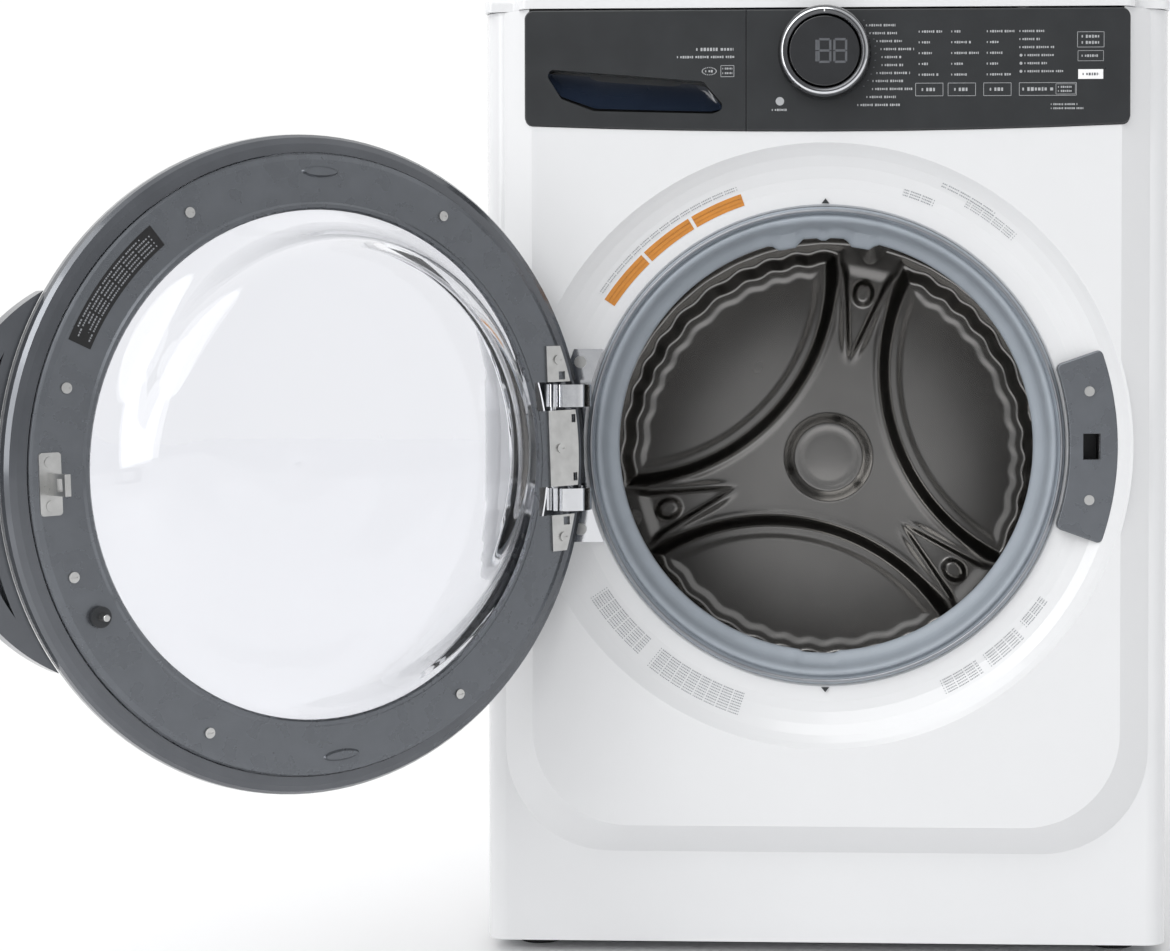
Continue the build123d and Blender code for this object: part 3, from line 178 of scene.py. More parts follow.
enamel = material(
    "enamel", (0.765, 0.77, 0.778), 0.24, tint=0.008, grain=9, bump=0.05, bump_scale=700, coat=0.3
)
galvanised = material("galvanised", (0.55, 0.57, 0.59), 0.42, 0.85, tint=0.12, grain=60, bump=0.08)
console_gloss = material(
    "console_gloss", (0.022, 0.024, 0.026), 0.3, tint=0.1, grain=30, bump=0.04, bump_scale=900, coat=0.2
)
scoop_gloss = material("scoop_gloss", (0.012, 0.018, 0.032), 0.1, tint=0.2, grain=12, coat=0.6)
white_plastic = material("white_plastic", (0.8, 0.81, 0.82), 0.35, tint=0.02, bump=0.06)
grey_plastic = material("grey_plastic", (0.3, 0.32, 0.34), 0.45, tint=0.05, bump=0.15, bump_scale=900)
tub_plastic = material("tub_plastic", (0.62, 0.62, 0.6), 0.55, tint=0.06, bump=0.15)
door_grey = material(
    "door_grey", (0.15, 0.16, 0.175), 0.28, 0.6, tint=0.06, grain=50, bump=0.09, bump_scale=1500
)
door_outer = material("door_outer", (0.11, 0.117, 0.13), 0.2, 0.6, tint=0.08, grain=25, bump=0.02, coat=0.5)
clear_glass = material(
    "clear_glass", (0.93, 0.935, 0.955), 0.02, tint=0.0, rough_swing=0.005, transmission=1.0, ior=1.45
)
dark_plastic = material("dark_plastic", (0.028, 0.03, 0.033), 0.4, tint=0.1, bump=0.12)
chrome = material("chrome", (0.72, 0.73, 0.75), 0.1, 1.0, tint=0.03, grain=80, bump=0.02)
knob_steel = material("knob_steel", (0.13, 0.132, 0.138), 0.24, 1.0, tint=0.06, grain=70, bump=0.02)
zinc = material("zinc", (0.58, 0.58, 0.57), 0.3, 1.0, tint=0.1, grain=90, bump=0.08)
stainless = material(
    "stainless", (0.42, 0.41, 0.395), 0.24, 1.0, tint=0.08, grain=6, bump=0.015, bump_scale=300
)
# The drum's back is the same stainless steel as its wall, given a darker base colour as painted shade deep inside
# the drum.
shaded_star_steel = material(
    "shaded_star_steel", (0.27, 0.264, 0.256), 0.25, 1.0, tint=0.12, grain=7, bump=0.01, bump_scale=200
)
alloy = material("alloy", (0.6, 0.61, 0.62), 0.45, 0.9, tint=0.08, bump=0.3, bump_scale=500)
gasket_rubber = material(
    "gasket_rubber", (0.33, 0.365, 0.405), 0.4, tint=0.05, grain=35, bump=0.06, bump_scale=1100
)
black_rubber = material("black_rubber", (0.02, 0.02, 0.021), 0.7, tint=0.15, bump=0.2)
cast_iron = material("cast_iron", (0.16, 0.16, 0.165), 0.75, 0.4, tint=0.2, bump=0.6, bump_scale=350)
spring_steel = material("spring_steel", (0.3, 0.31, 0.33), 0.32, 0.95, tint=0.08, bump=0.05)
board_green = material("board_green", (0.02, 0.12, 0.05), 0.35, tint=0.2, grain=150)
display_glass = material("display_glass", (0.012, 0.013, 0.015), 0.06, tint=0.2, coat=0.7)
# Near-black finish for the drum's perforations: painted shade in place of the dark gap seen through each hole.
hole_shade_painted = material("hole_shade_painted", (0.01, 0.01, 0.01), 0.6, tint=0.2)
print_light = material("print_light", (0.4, 0.41, 0.42), 0.5, tint=0.06, grain=200)
print_white = material("print_white", (0.9, 0.9, 0.9), 0.5, tint=0.03, grain=200)
print_dim = material("print_dim", (0.1, 0.105, 0.115), 0.4, tint=0.1, grain=200)
print_grey = material("print_grey", (0.3, 0.31, 0.33), 0.5, tint=0.08, grain=200)
label_orange = material("label_orange", (0.6, 0.235, 0.035), 0.5, tint=0.06, grain=120, bump=0.05)
label_black = material("label_black", (0.012, 0.012, 0.013), 0.35, tint=0.2, grain=120)

surface_of = {
    "white_enamel": enamel,
    "galvanised": galvanised,
    "console_dark": console_gloss,
    "scoop_gloss": scoop_gloss,
    "white_plastic": white_plastic,
    "grey_plastic": grey_plastic,
    "tub_plastic": tub_plastic,
    "door_grey": door_grey,
    "door_outer": door_outer,
    "clear_glass": clear_glass,
    "dark_plastic": dark_plastic,
    "chrome": chrome,
    "zinc": zinc,
    "stainless": stainless,
    "alloy": alloy,
    "gasket_rubber": gasket_rubber,
    "black_rubber": black_rubber,
    "cast_iron": cast_iron,
    "spring_steel": spring_steel,
    "board_green": board_green,
}


def dress_frame():
    """Give every carried-over node the procedural finish of its slot, and smooth shading"""
    for part in frame["record"]["subparts"]:
        thing = nodes[part["node"]]
        thing.data.materials.clear()
        thing.data.materials.append(surface_of[part["material_slot"]])
        if thing.data.has_custom_normals:
            continue
        thing.data.shade_smooth()
        thing.data.set_sharp_from_angle(angle=radians(32))
    lens = nodes["display_lens"].data
    lens.materials.clear()
    lens.materials.append(display_glass)


dress_frame()


# ------------------------------------------------------------------ mesh makers
def piece(name, verts, faces, place, body, finish, angle=32):
    """A mesh piece in a local frame of millimetres, carried to its place and ridden on a body"""
    mesh = bpy.data.meshes.new(name)
    mesh.from_pydata([Vector(v) * mm for v in verts], [], faces)
    mesh.transform(place)
    mesh.materials.append(finish)
    mesh.update()
    mesh.shade_smooth()
    mesh.set_sharp_from_angle(angle=radians(angle))
    made = bpy.data.objects.new(name, mesh)
    bpy.context.scene.collection.objects.link(made)
    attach(made, body)
    return made


def lathe(name, profile, place, body, finish, steps=192, closed=True, warp=None, angle=32):
    """Turn a profile of (radius, height) about local z. warp may shift a point by its angle."""
    verts = []
    faces = []
    count = len(profile)
    for i in range(steps):
        a = 2 * pi * i / steps
        for k, (radius, height) in enumerate(profile):
            r, h = warp(radius, height, a, k) if warp else (radius, height)
            verts.append((r * cos(a), r * sin(a), h))
    last = count if closed else count - 1
    for i in range(steps):
        j = (i + 1) % steps
        for k in range(last):
            m = (k + 1) % count
            faces.append((i * count + k, j * count + k, j * count + m, i * count + m))
    return piece(name, verts, faces, place, body, finish, angle)


def tube(points, radius, sides=12, loop=False):
    """The vertices and faces of a round tube along points"""
    pts = [Vector(p) for p in points]
    verts, faces = [], []
    n = len(pts)
    side = None
    for i, p in enumerate(pts):
        ahead = pts[(i + 1) % n] if (loop or i < n - 1) else p
        behind = pts[i - 1] if (loop or i > 0) else p
        along = (ahead - behind).normalized()
        if side is None:
            side = along.orthogonal().normalized()
        side = (side - along * side.dot(along)).normalized()
        up = along.cross(side)
        for k in range(sides):
            a = 2 * pi * k / sides
            verts.append(p + (side * cos(a) + up * sin(a)) * radius)
    for i in range(n if loop else n - 1):
        j = (i + 1) % n
        for k in range(sides):
            m = (k + 1) % sides
            faces.append((i * sides + k, i * sides + m, j * sides + m, j * sides + k))
    if not loop:
        faces.append(tuple(range(sides))[::-1])
        faces.append(tuple((n - 1) * sides + k for k in range(sides)))
    return verts, faces


class Plates:
    """Many thin flat shapes gathered into one piece, each lying on local height z"""

    def __init__(self, z, thick=0.15):
        self.z = z
        self.thick = thick
        self.verts = []
        self.faces = []

    def add(self, outline, height=None):
        """A convex outline, given anticlockwise, as a thin plate"""
        low = self.z if height is None else height
        start = len(self.verts)
        n = len(outline)
        self.verts += [(x, y, low) for x, y in outline]
        self.verts += [(x, y, low + self.thick) for x, y in outline]
        self.faces.append(tuple(start + n + k for k in range(n)))
        for k in range(n):
            m = (k + 1) % n
            self.faces.append((start + k, start + m, start + n + m, start + n + k))

    def bar(self, x, y, wide, high):
        """An upright rectangle about its middle"""
        w, h = wide / 2, high / 2
        self.add([(x - w, y - h), (x + w, y - h), (x + w, y + h), (x - w, y + h)])

    def box_line(self, x, y, wide, high, line=0.5):
        """The outline of a rectangle as four bars"""
        self.bar(x, y + high / 2, wide, line)
        self.bar(x, y - high / 2, wide, line)
        self.bar(x - wide / 2, y, line, high)
        self.bar(x + wide / 2, y, line, high)

    def disc(self, x, y, radius, sides=12):
        """A round plate"""
        angles = [2 * pi * k / sides for k in range(sides)]
        self.add([(x + radius * cos(a), y + radius * sin(a)) for a in angles])

    def arc(self, inner, outer, start, stop, steps=16, height=None):
        """A stretch of a flat ring about the local origin, in degrees"""
        for k in range(steps):
            a = radians(start + (stop - start) * k / steps)
            b = radians(start + (stop - start) * (k + 1) / steps)
            self.add(
                [
                    (inner * cos(a), inner * sin(a)),
                    (outer * cos(a), outer * sin(a)),
                    (outer * cos(b), outer * sin(b)),
                    (inner * cos(b), inner * sin(b)),
                ],
                height,
            )

    def make(self, name, place, body, slot, finish):
        return piece(name, self.verts, self.faces, place, body, finish)


def letter_widths(long, wide, seed):
    """Starts and widths of small blocks that stand in for a run of letters, with word gaps"""
    at, k, blocks = 0.0, seed, []
    while at < long:
        w = wide * (0.6 + 0.5 * ((k * 7 + seed * 3) % 5) / 4)
        blocks.append((at, min(w, long - at)))
        at += w + wide * (0.45 if (k * 5 + seed) % 6 else 1.3)
        k += 1
    return blocks


def text_row(plates, x, y, long, high, seed):
    """A row of small blocks from x rightwards, in place of words"""
    for start, w in letter_widths(long, high * 0.72, seed):
        plates.bar(x + start + w / 2, y, w, high * (1.0 if int(start) % 3 else 0.8))


def text_arc(plates, radius, start, stop, high, step, seed):
    """A curved row of small blocks about the local origin, in place of words"""
    for at, w in letter_widths(stop - start, step * 1.4, seed):
        plates.arc(radius, radius + high, start + at, start + at + w, 1)


# ------------------------------------------------------------------ gasket
def smooth(t):
    t = max(0.0, min(1.0, t))
    return t * t * (3 - 2 * t)


def bump_at(a, centre, half, edge):
    """1 within half of a centre angle, falling to 0 over edge, in degrees"""
    gap = abs((math.degrees(a) - centre + 180) % 360 - 180)
    return 1 - smooth((gap - half) / edge)


GASKET = [
    (239.4, 362),
    (239.6, 371),
    (239.2, 375),
    (237.6, 377.8),
    (235.6, 379),
    (234, 378.2),
    (233.2, 376),
    (232.6, 374.6),
    (231.6, 374.8),
    (230.8, 376.6),
    (229.4, 378.2),
    (227.4, 378.4),
    (225.6, 377),
    (223.8, 373.6),
    (222.6, 369),
    (221.4, 363),
    (219.6, 358.4),
    (217, 355.4),
    (214, 353.2),
    (211.4, 351.4),
    (209.6, 349),
    (209.4, 346.4),
    (210.8, 344.4),
    (214, 343.6),
    (219, 343.6),
    (222.4, 345),
    (224.6, 349),
    (226.6, 353),
    (228.4, 351),
    (228.4, 345),
    (227.4, 338),
    (227.6, 331),
    (230.6, 330),
    (231.4, 338),
    (232, 347),
    (234, 354),
    (236.6, 356.6),
]


def gasket_warp(radius, height, a, k):
    """The tab at the top, the two nozzles inside it and the drain notch low in the lip"""
    if 10 <= k <= 15:
        height += 1.6 * bump_at(a, 90, 12, 1.2)
        radius -= 0.8 * bump_at(a, 90, 12, 1.2)
    if 15 <= k <= 23:
        for nozzle in (101, 80):
            radius -= 7.5 * bump_at(a, nozzle, 2.2, 2.6) * (1 if k > 16 else 0.4)
        radius -= 2.5 * bump_at(a, 90.5, 0.6, 1.2)
        radius += 2.0 * bump_at(a, 268, 4.5, 1.0)
    if 28 <= k <= 33:
        tip = sin(radians(4)) * radius * sin(a)
        height += (-0.8 * tip if k in (30, 31, 32) else -0.4 * tip) - 10 * (k in (30, 31, 32))
    return radius, height


def make_gasket():
    made = lathe(
        "gasket_folds", GASKET, MOUTH, "cabinet", gasket_rubber, 288, warp=gasket_warp, angle=50
    )
    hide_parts("door_gasket")
    marks = Plates(374.6, 0.5)
    for point in (1, -1):
        y = 242.5 * point
        marks.add([(-4, y), (4, y), (0, y + 5 * point)][:: point])
    marks.make("mouth_arrows", MOUTH, "cabinet", "dark_plastic", dark_plastic)


make_gasket()


# ------------------------------------------------------------------ drum
STAR_ANGLES = (78, 198, 318)
STAR_S = -482
PANEL_R, PANEL_SWING, PANEL_OUT = 345, 260, 246


def panel_inside(x, y):
    """How far inside the nearest leaf-shaped panel a point is, in mm; negative outside"""
    best = np.full_like(x, -1e3)
    r = np.hypot(x, y)
    a = np.arctan2(y, x)
    for star in STAR_ANGLES:
        c = radians(star + 60)
        d = PANEL_SWING - np.hypot(x - PANEL_R * cos(c), y - PANEL_R * sin(c))
        rim = PANEL_OUT + 1.8 * np.cos(40 * a + 1.1 * np.sin(7 * a)) - r
        best = np.maximum(best, np.minimum(d, rim))
    return best


def soft(v, low, high):
    t = np.clip((v - low) / (high - low), 0, 1)
    return t * t * (3 - 2 * t)


def star_height(x, y):
    """The stamped relief of the drum's back, in mm towards the mouth"""
    r = np.hypot(x, y)
    inside = panel_inside(x, y)
    h = -13 * soft(inside, -7, 8)
    h -= 1.2 * soft(inside, 14, 24)
    h += 1.3 * np.exp(-((inside + 9) / 4.5) ** 2)
    for star in STAR_ANGLES:
        c = radians(star)
        along = x * cos(c) + y * sin(c)
        across = -x * sin(c) + y * cos(c)
        reach = soft(along, 112, 150) * (1 - soft(along, 222, 240))
        half = 4 + 0.24 * np.maximum(along - 118, 0)
        h += 2.6 * reach * np.exp(-((np.abs(across) - half) / 5) ** 2)
        h -= 2.0 * reach * (1 - soft(np.abs(across), half - 7, half - 2))
        tip = np.hypot((along - 206) * 0.8, across)
        h += 5 * (1 - soft(tip, 7, 15))
    h += 6.5 * (1 - soft(r, 40, 56))
    h -= 1.6 * (1 - soft(r, 28, 40))
    h += 2.4 * (1 - np.minimum(r / 34, 1) ** 2)
    h += 6 * soft(r, 262, 272)
    return h


def make_drum_back():
    rings, turns = 190, 540
    radii = 273.0 * (np.arange(1, rings + 1) / rings)
    angles = 2 * pi * np.arange(turns) / turns
    rr, aa = np.meshgrid(radii, angles, indexing="ij")
    x, y = rr * np.cos(aa), rr * np.sin(aa)
    z = STAR_S + star_height(x, y)
    verts = [(0, 0, STAR_S + float(star_height(np.array([0.0]), np.array([0.0]))[0]))]
    verts += list(zip(x.ravel().tolist(), y.ravel().tolist(), z.ravel().tolist()))
    faces = [(0, 1 + k, 1 + (k + 1) % turns) for k in range(turns)]
    for i in range(rings - 1):
        low, high = 1 + i * turns, 1 + (i + 1) * turns
        for k in range(turns):
            m = (k + 1) % turns
            faces.append((low + k, high + k, high + m, low + m))
    # The back takes the darker stainless copy: painted shade at the far end of the drum.
    made = piece("drum_star", verts, faces, TUB, "drum", shaded_star_steel, angle=60)
    skin = made.modifiers.new("sheet", "SOLIDIFY")
    skin.thickness = 0.0012
    skin.offset = -1
    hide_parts("drum_back")


make_drum_back()

DRUM_SHELL = [
    (229, -52.4),
    (230.5, -50.6),
    (234, -50),
    (250, -50.4),
    (262, -51),
    (269, -53),
    (273.2, -57.4),
    (275, -64),
    (275, -120),
    (274.2, -123),
    (275, -126),
    (275, -420),
    (274.2, -423),
    (275, -426),
    (275, -500),
    (273.8, -500),
    (273.8, -426),
    (273, -423),
    (273.8, -420),
    (273.8, -126),
    (273, -123),
    (273.8, -120),
    (273.8, -64.4),
    (272, -58.4),
    (268, -54.4),
    (261.6, -52.3),
    (250, -51.7),
    (234, -51.4),
    (231, -52.2),
    (229.6, -53.6),
]


def make_drum_shell():
    made = lathe("drum_wall", DRUM_SHELL, TUB, "drum", stainless, 256)
    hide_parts("drum_shell")
    verts, faces = [], []
    sides = 8
    rows, columns = 24, 102
    for row in range(rows):
        s = -138 - row * 12
        for column in range(columns):
            a = 2 * pi * (column + 0.5 * (row % 2)) / columns
            gap = min(abs((math.degrees(a) - star + 180) % 360 - 180) for star in STAR_ANGLES)
            if gap < 9:
                continue
            start = len(verts)
            for k in range(sides):
                b = 2 * pi * k / sides
                turn = a + 1.9 * cos(b) / 273.6
                verts.append((273.6 * cos(turn), 273.6 * sin(turn), s + 1.9 * sin(b)))
            for k in range(sides):
                b = 2 * pi * k / sides
                turn = a + 1.9 * cos(b) / 275.1
                verts.append((275.1 * cos(turn), 275.1 * sin(turn), s + 1.9 * sin(b)))
            faces.append(tuple(start + k for k in range(sides)))
            faces.append(tuple(start + sides + k for k in range(sides))[::-1])
            for k in range(sides):
                m = (k + 1) % sides
                faces.append((start + m, start + k, start + sides + k, start + sides + m))
    # The perforations are solid near-black plugs set in the wall, not openings: painted shade where the holes are.
    piece("drum_holes", verts, faces, TUB, "drum", hole_shade_painted)


make_drum_shell()


def make_baffles():
    """Three lifters: rounded ridges that rise from the drum's wall and taper at both ends"""
    verts, faces = [], []
    steps, arcs = 40, 14
    for star in STAR_ANGLES:
        start = len(verts)
        for i in range(steps + 1):
            t = i / steps
            s = -438 + 308 * t
            rise = (1 - abs(2 * t - 1) ** 6) * 42 + 2
            wide = 31 * (1 - 0.35 * abs(2 * t - 1) ** 4)
            for k in range(arcs + 1):
                u = -1 + 2 * k / arcs
                lift = rise * (1 - abs(u) ** 2.4) ** 1.0
                across = wide * u * (1 - 0.35 * (1 - abs(u)))
                radius = 273.2 - lift
                turn = radians(star) + across / 273.2
                verts.append((radius * cos(turn), radius * sin(turn), s))
        row = arcs + 1
        for i in range(steps):
            for k in range(arcs):
                p = start + i * row + k
                faces.append((p, p + 1, p + row + 1, p + row))
        for i in (0, steps):
            ends = [start + i * row + k for k in range(row)]
            faces.append(tuple(ends if i else ends[::-1]))
        seams = [(start + i * row, start + (i + 1) * row) for i in range(steps)]
        faces += [(here + arcs, here, there, there + arcs) for here, there in seams]
    made = piece("drum_lifters", verts, faces, TUB, "drum", stainless, angle=50)
    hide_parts("drum_baffles")


make_baffles()

# ------------------------------------------------------------------ door
BOWL = [
    (0, -65.8),
    (50, -65.8),
    (100, -65.6),
    (140, -65.2),
    (158, -64.4),
    (170, -62.6),
    (179, -59.4),
    (186, -54.6),
    (191.6, -48.4),
    (196.4, -41),
    (200.6, -33),
    (204.6, -25),
    (209, -17.4),
    (214.4, -10.6),
    (220.6, -5),
    (226.6, -0.8),
    (232, 2.4),
    (238, 3.4),
    (246, 3.8),
    (246, 8),
    (234, 8),
    (227, 6),
    (220.6, 2.2),
    (214.4, -3),
    (208.4, -9.6),
    (203.4, -17),
    (199, -24.6),
    (195, -32),
    (190.4, -39.4),
    (185, -45.8),
    (179, -51),
    (172, -55),
    (162, -58),
    (146, -60),
    (100, -61),
    (50, -61.3),
    (0, -61.4),
]
# How far the bowl's flat face sits above the mouth's axis, in mm.
BOWL_RISE = 22


def bowl_warp(radius, height, angle, k):
    """The bowl's flat face sits above the mouth's axis, so its flank is steep above and slow below"""
    depth = max(0.0, min(1.0, -height / 62))
    share = min(1.0, radius / 150)
    return radius + BOWL_RISE * (sin(angle) - 0.35) * share * depth**1.5, height


def make_bowl():
    made = lathe(
        "door_bowl", BOWL, DOOR, "door", clear_glass, 192, closed=False, warp=bowl_warp, angle=60
    )
    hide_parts("door_glass_bowl")


make_bowl()


def make_door_label():
    """A plain dark sticker on the inner plate, with rows of blank bars in place of words"""
    sticker = Plates(0.1, 0.15)
    sticker.arc(250, 271, -52, -26, 20)
    sticker.make("door_label", INSIDE, "door", "dark_plastic", label_black)
    rows = Plates(0.28, 0.06)
    for row in range(5):
        text_arc(rows, 253.2 + row * 3.5, -50.6 + (row == 4) * 2, -27.2 - (row % 3) * 1.5, 1.3, 0.29, row)
    rows.make("door_label_bars", INSIDE, "door", "dark_plastic", print_grey)


make_door_label()


# ------------------------------------------------------------------ bezel labels
def dish_height(radius):
    """The height of the dish's surface, out of Y = 0 in mm, by radius"""
    radii = (242, 257.5, 267.5, 279.5, 289.5, 296.5, 301.5)
    heights = (373, 373, 374.8, 379.2, 384.8, 390.4, 395)
    return float(np.interp(radius, radii, heights))


def make_bezel_marks():
    """Three plain orange strips and a few faint rows of blocks, where the mouth carries print"""
    strips, bars = Plates(0, 0.3), Plates(0, 0.12)
    for start, stop in ((146.5, 134.0), (133.2, 121.2), (120.4, 108.6)):
        for k in range(3):
            inner = 254 + k * 4
            strips.arc(inner, inner + 4, stop, start, 10, dish_height(inner + 2) + 0.12)
    strips.make("bezel_strips", MOUTH, "cabinet", "white_plastic", label_orange)
    blocks = [
        (54, 66, 283, 2, 1.4),
        (48, 60, 276, 4, 0.9),
        (66, 73, 262, 3, 1.2),
        (213, 228, 262, 8, 1.1),
        (231, 252, 262, 9, 1.1),
        (296, 305, 262, 6, 1.1),
        (307, 316, 262, 6, 1.1),
        (318, 325, 262, 4, 1.1),
        (109, 146, 270.5, 2, 1.0),
    ]
    for start, stop, inner, rows, high in blocks:
        for row in range(rows):
            radius = inner + row * (high + 1.5)
            for at, w in letter_widths(stop - start, 0.3, row + int(start)):
                on_dish = dish_height(radius + high / 2) + 0.14
                bars.arc(radius, radius + high, start + at, start + at + w, 1, on_dish)
    bars.make("bezel_bars", MOUTH, "cabinet", "white_plastic", print_grey)


make_bezel_marks()


# ------------------------------------------------------------------ console graphics
KNOB_X, KNOB_Z = -0.8, 904


def seven_segment(plates, x, y, high, lit):
    """One digit of the display, as thin bars"""
    wide, line = high * 0.52, high * 0.11
    bars = {
        "a": (0, high / 2, wide, line),
        "g": (0, 0, wide, line),
        "d": (0, -high / 2, wide, line),
        "f": (-wide / 2, high / 4, line, high / 2),
        "b": (wide / 2, high / 4, line, high / 2),
        "e": (-wide / 2, -high / 4, line, high / 2),
        "c": (wide / 2, -high / 4, line, high / 2),
    }
    for name in lit:
        dx, dy, w, h = bars[name]
        plates.bar(x + dx, y + dy, w * 0.92, h * 0.92)


def make_console_graphics():
    marks = Plates(CONSOLE_FACE, 0.12)
    starts = (40, 43.5, 50.4, 54.4, 55.4, 55.4, 50.4, 46.5, 46, 40.5, 31.5)
    lengths = (29, 27, 25, 33, 20, 22, 33, 31, 40, 29, 42)
    for row in range(11):
        text_row(marks, starts[row], 931.5 - row * 7.85, lengths[row], 2.3, row)
    for column, (x, first) in enumerate(((96, 0), (128, 3), (163, 5))):
        for row in range(5):
            long = (23, 11, 13, 9, 20, 27, 12, 16, 11, 24, 11, 19)[(row + first) % 12]
            text_row(marks, x - 4, 925 - row * 10.6, long, 2.3, row + column)
        marks.box_line(x + 6.5, 868, 27, 12.5, 0.45)
        text_row(marks, x - 1, 868, 14, 3.3, column)
    for row in range(6):
        text_row(marks, 191 + (row > 2) * 5, 925 - row * 7.9, (25, 20, 34, 30, 22, 38)[row], 2.2, row + 4)
        if row > 2:
            marks.disc(192.6, 925 - row * 7.9, 1.5, 8)
    marks.box_line(219, 868, 56, 12.5, 0.45)
    text_row(marks, 194, 868, 31, 3.6, 2)
    marks.box_line(236.5, 868, 19, 10, 0.4)
    text_row(marks, 229, 870, 15, 2, 1)
    text_row(marks, 229, 866, 15, 2, 3)
    marks.box_line(261, 916.5, 26, 15, 0.45)
    text_row(marks, 252, 919.5, 18, 3, 1)
    text_row(marks, 252, 913.5, 18, 3, 2)
    marks.box_line(261, 900.5, 25, 10, 0.4)
    text_row(marks, 252, 900.5, 18, 2.4, 4)
    text_row(marks, 222, 853, 26, 1.8, 5)
    text_row(marks, 222, 849, 32, 1.8, 6)
    marks.disc(-45, 857, 4.2, 20)
    text_row(marks, -53, 848.5, 16, 2.2, 3)
    marks.make("console_marks", FRONT, "cabinet", "console_dark", print_light)
    dial = Plates(CONSOLE_FACE, 0.12)
    for k in range(11):
        angle = radians(40 - k * 8)
        dial.bar(KNOB_X + 50.5 * cos(angle), KNOB_Z + 50.5 * sin(angle), 1.6, 1.0)
    dial.make("console_dial_marks", FRONT, "cabinet", "console_dark", print_dim)
    pad = Plates(CONSOLE_FACE, 0.14)
    pad.bar(261, 882.5, 24.5, 9.5)
    pad.make("console_pad", FRONT, "cabinet", "console_dark", print_white)
    dark = Plates(-CONSOLE_Y / mm + 0.18, 0.08)
    text_row(dark, 253, 882.5, 16, 2.6, 1)
    dark.make("console_pad_bar", FRONT, "cabinet", "console_dark", print_dim)
    drawer = Plates(CONSOLE_FACE, 0.12)
    text_row(drawer, -128, 908.5, 37, 3.2, 1)
    text_row(drawer, -147, 901, 57, 2.4, 3)
    for k in range(24):
        a = 2 * pi * k / 24
        drawer.bar(-115 + 7 * cos(a), 887 + 3.6 * sin(a), 0.9, 0.9)
    text_row(drawer, -119, 887, 8, 2.4, 2)
    drawer.box_line(-97, 887, 13, 11, 0.5)
    text_row(drawer, -102, 889.5, 10, 1.8, 2)
    text_row(drawer, -102, 885, 10, 1.8, 4)
    drawer.make("drawer_marks", FRONT, "drawer", "console_dark", print_light)
    digits = Plates(417.85, 0.1)
    for x, lit in ((-13.5, "bc"), (0, "abcdefg"), (15.5, "abcdefg")):
        seven_segment(digits, KNOB_X + x, KNOB_Z, 22, lit)
    digits.make("display_digits", FRONT, "cabinet", "dark_plastic", print_dim)


make_console_graphics()


SCOOP_TOP = ((-277, 885.5), (-262, 886.5), (-200, 881.6), (-130, 876), (-119, 873.4), (-103, 853.5))
SCOOP_LOW = ((-277, 880), (-262, 862.4), (-228, 850.6), (-170, 848.8), (-114, 847.4), (-103, 849.5))


def make_scoop():
    """The drawer's finger scoop: a glossy floor that rises outwards from under a deep upper lip"""
    across, up = 60, 18
    verts, faces = [], []
    for i in range(across + 1):
        x = -277 + 174 * i / across
        top = float(np.interp(x, [q[0] for q in SCOOP_TOP], [q[1] for q in SCOOP_TOP]))
        low = float(np.interp(x, [q[0] for q in SCOOP_LOW], [q[1] for q in SCOOP_LOW]))
        ends = math.sqrt(max(0.0, 1 - ((i - across / 2) / (across / 2)) ** 6))
        for k in range(up + 1):
            v = k / up
            depth = 1.4 + 17.4 * ends * (1 - (1 - v) ** 2.2) + 0.4
            verts.append((x, low + (top - low) * v, -CONSOLE_Y / mm - depth))
    for i in range(across):
        for k in range(up):
            a = i * (up + 1) + k
            faces.append((a, a + up + 1, a + up + 2, a + 1))
    piece("scoop_liner", verts, faces, FRONT, "drawer", scoop_gloss, angle=60)


make_scoop()


def make_knob():
    """The selector ring: a bevelled metal rim with a fine grip round its side"""
    profile = [
        (35.4, 397.8),
        (45.2, 397.8),
        (46, 398.8),
        (46, 409),
        (45.6, 413),
        (44.2, 417),
        (42, 419.4),
        (39.6, 420),
        (37.6, 419.2),
        (36.2, 417.6),
        (35.4, 416),
    ]

    def grip(radius, height, a, k):
        return (radius - 0.35 * (math.floor(a / (2 * pi) * 360) % 2) if 2 <= k <= 3 else radius), height

    place = FRONT @ Matrix.Translation((KNOB_X * mm, KNOB_Z * mm, 0))
    made = lathe("selector_ring", profile, place, "knob", knob_steel, 360, warp=grip, angle=40)
    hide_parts("knob_ring")
    rim = [(40.2, 419.6), (41.6, 419.3), (42.4, 419.4), (41.4, 420.3), (40.6, 420.4)]
    lathe("selector_rim", rim, place, "knob", chrome, 192, angle=60)
    pointer = Plates(420.02, 0.15)
    pointer.bar(KNOB_X, KNOB_Z + 39.6, 1.2, 3.2)
    pointer.make("selector_mark", FRONT, "knob", "chrome", print_white)


make_knob()


# ------------------------------------------------------------------ springs and hoses
def make_springs():
    """Coil springs drawn in place of the frame's plain tubes"""
    low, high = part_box("suspension_springs")
    spots = [(x, y) for x in (low.x + 0.0138, high.x - 0.0138) for y in (low.y + 0.0138, high.y - 0.0138)]
    turns, per_turn = 26, 16
    for number, (x, y) in enumerate(spots):
        points = []
        total = turns * per_turn
        for i in range(total + 1):
            a = 2 * pi * i / per_turn
            z = low.z + 0.003 + (high.z - low.z - 0.006) * i / total
            points.append((x + 0.012 * cos(a), y + 0.012 * sin(a), z))
        verts, faces = tube(points, 0.0018, 8)
        verts = [v / mm for v in verts]
        made = piece(
            f"tub_spring_{number + 1}", verts, faces, Matrix.Identity(4), "cabinet", spring_steel, 60
        )
        if number == 0:
            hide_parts("suspension_springs")


make_springs()


def make_sump_hose():
    low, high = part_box("sump_hose")
    middle = (low + high) / 2
    profile = []
    rings = 12
    for k in range(rings * 4 + 1):
        t = k / (rings * 4)
        bulge = 1.6 * cos(2 * pi * rings * t) - 1.6
        profile.append((21 + bulge, low.z / mm + (high.z - 0.012 - low.z) / mm * t))
    inner = [(16.5, profile[-1][1]), (16.5, profile[0][1])]
    place = Matrix.Translation((middle.x, middle.y, 0))
    made = lathe(
        "sump_bellows", profile + inner, place, "cabinet", black_rubber, 48, angle=60
    )
    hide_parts("sump_hose")


make_sump_hose()


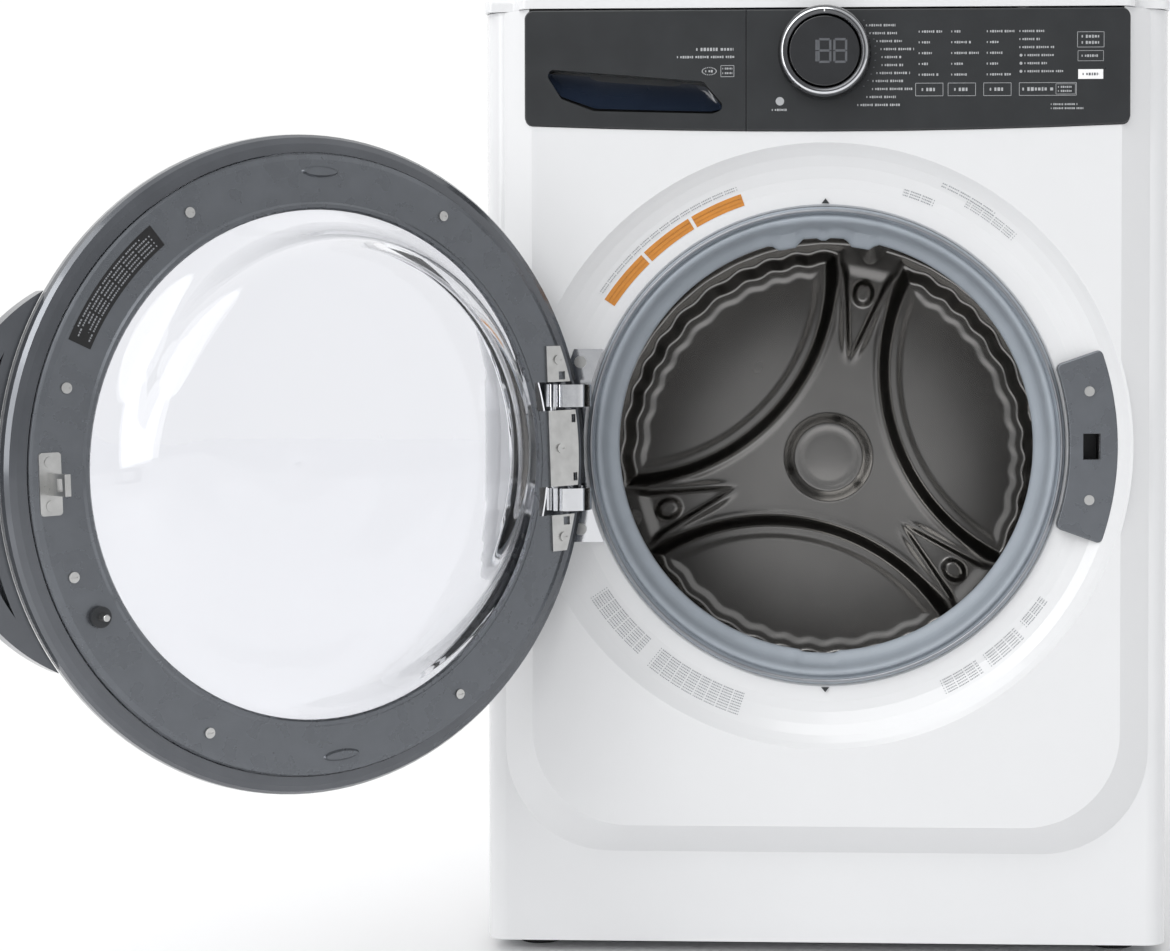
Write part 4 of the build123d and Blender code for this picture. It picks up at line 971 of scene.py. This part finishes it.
# ------------------------------------------------------------------ studio
def make_studio():
    floor_mesh = bpy.data.meshes.new("studio_floor")
    reach = 14
    corners = [(-reach, -reach, 0), (reach, -reach, 0), (reach, reach, 0), (-reach, reach, 0)]
    floor_mesh.from_pydata(corners, [], [(0, 1, 2, 3)])
    floor_mesh.materials.append(material("studio_white", (0.9, 0.9, 0.905), 0.5, tint=0.004, grain=2))
    floor = bpy.data.objects.new("studio_floor", floor_mesh)
    bpy.context.scene.collection.objects.link(floor)
    world = bpy.data.worlds.new("studio")
    world.use_nodes = True
    tree = world.node_tree
    where = tree.nodes.new("ShaderNodeTexCoord")
    split = tree.nodes.new("ShaderNodeSeparateXYZ")
    ramp = tree.nodes.new("ShaderNodeValToRGB")
    ramp.color_ramp.elements[0].position = 0.25
    ramp.color_ramp.elements[0].color = (0.5, 0.505, 0.515, 1)
    ramp.color_ramp.elements[1].position = 0.62
    ramp.color_ramp.elements[1].color = (1.02, 1.02, 1.02, 1)
    spread = tree.nodes.new("ShaderNodeMapRange")
    spread.inputs["From Min"].default_value = -1
    tree.links.new(where.outputs["Generated"], split.inputs["Vector"])
    tree.links.new(split.outputs["Y"], spread.inputs["Value"])
    tree.links.new(spread.outputs["Result"], ramp.inputs["Fac"])
    tree.links.new(ramp.outputs["Color"], tree.nodes["Background"].inputs["Color"])
    bpy.context.scene.world = world
    sun = bpy.data.lights.new("sky_key", "SUN")
    sun.energy = 1.35
    sun.angle = radians(50)
    holder = bpy.data.objects.new("sky_key", sun)
    bpy.context.scene.collection.objects.link(holder)
    holder.rotation_mode = "QUATERNION"
    holder.rotation_quaternion = Vector((0.3, 0.62, -0.72)).to_track_quat("-Z", "Y")
    strip = bpy.data.lights.new("strip", "AREA")
    strip.shape = "RECTANGLE"
    strip.size = 0.7
    strip.size_y = 2.2
    strip.energy = 16
    holder = bpy.data.objects.new("strip", strip)
    bpy.context.scene.collection.objects.link(holder)
    holder.location = (-1.9, -2.3, 1.5)
    holder.rotation_mode = "QUATERNION"
    holder.rotation_quaternion = (Vector((0, -0.3, 0.6)) - holder.location).to_track_quat("-Z", "Y")
    bpy.context.scene.view_settings.view_transform = "Standard"


make_studio()
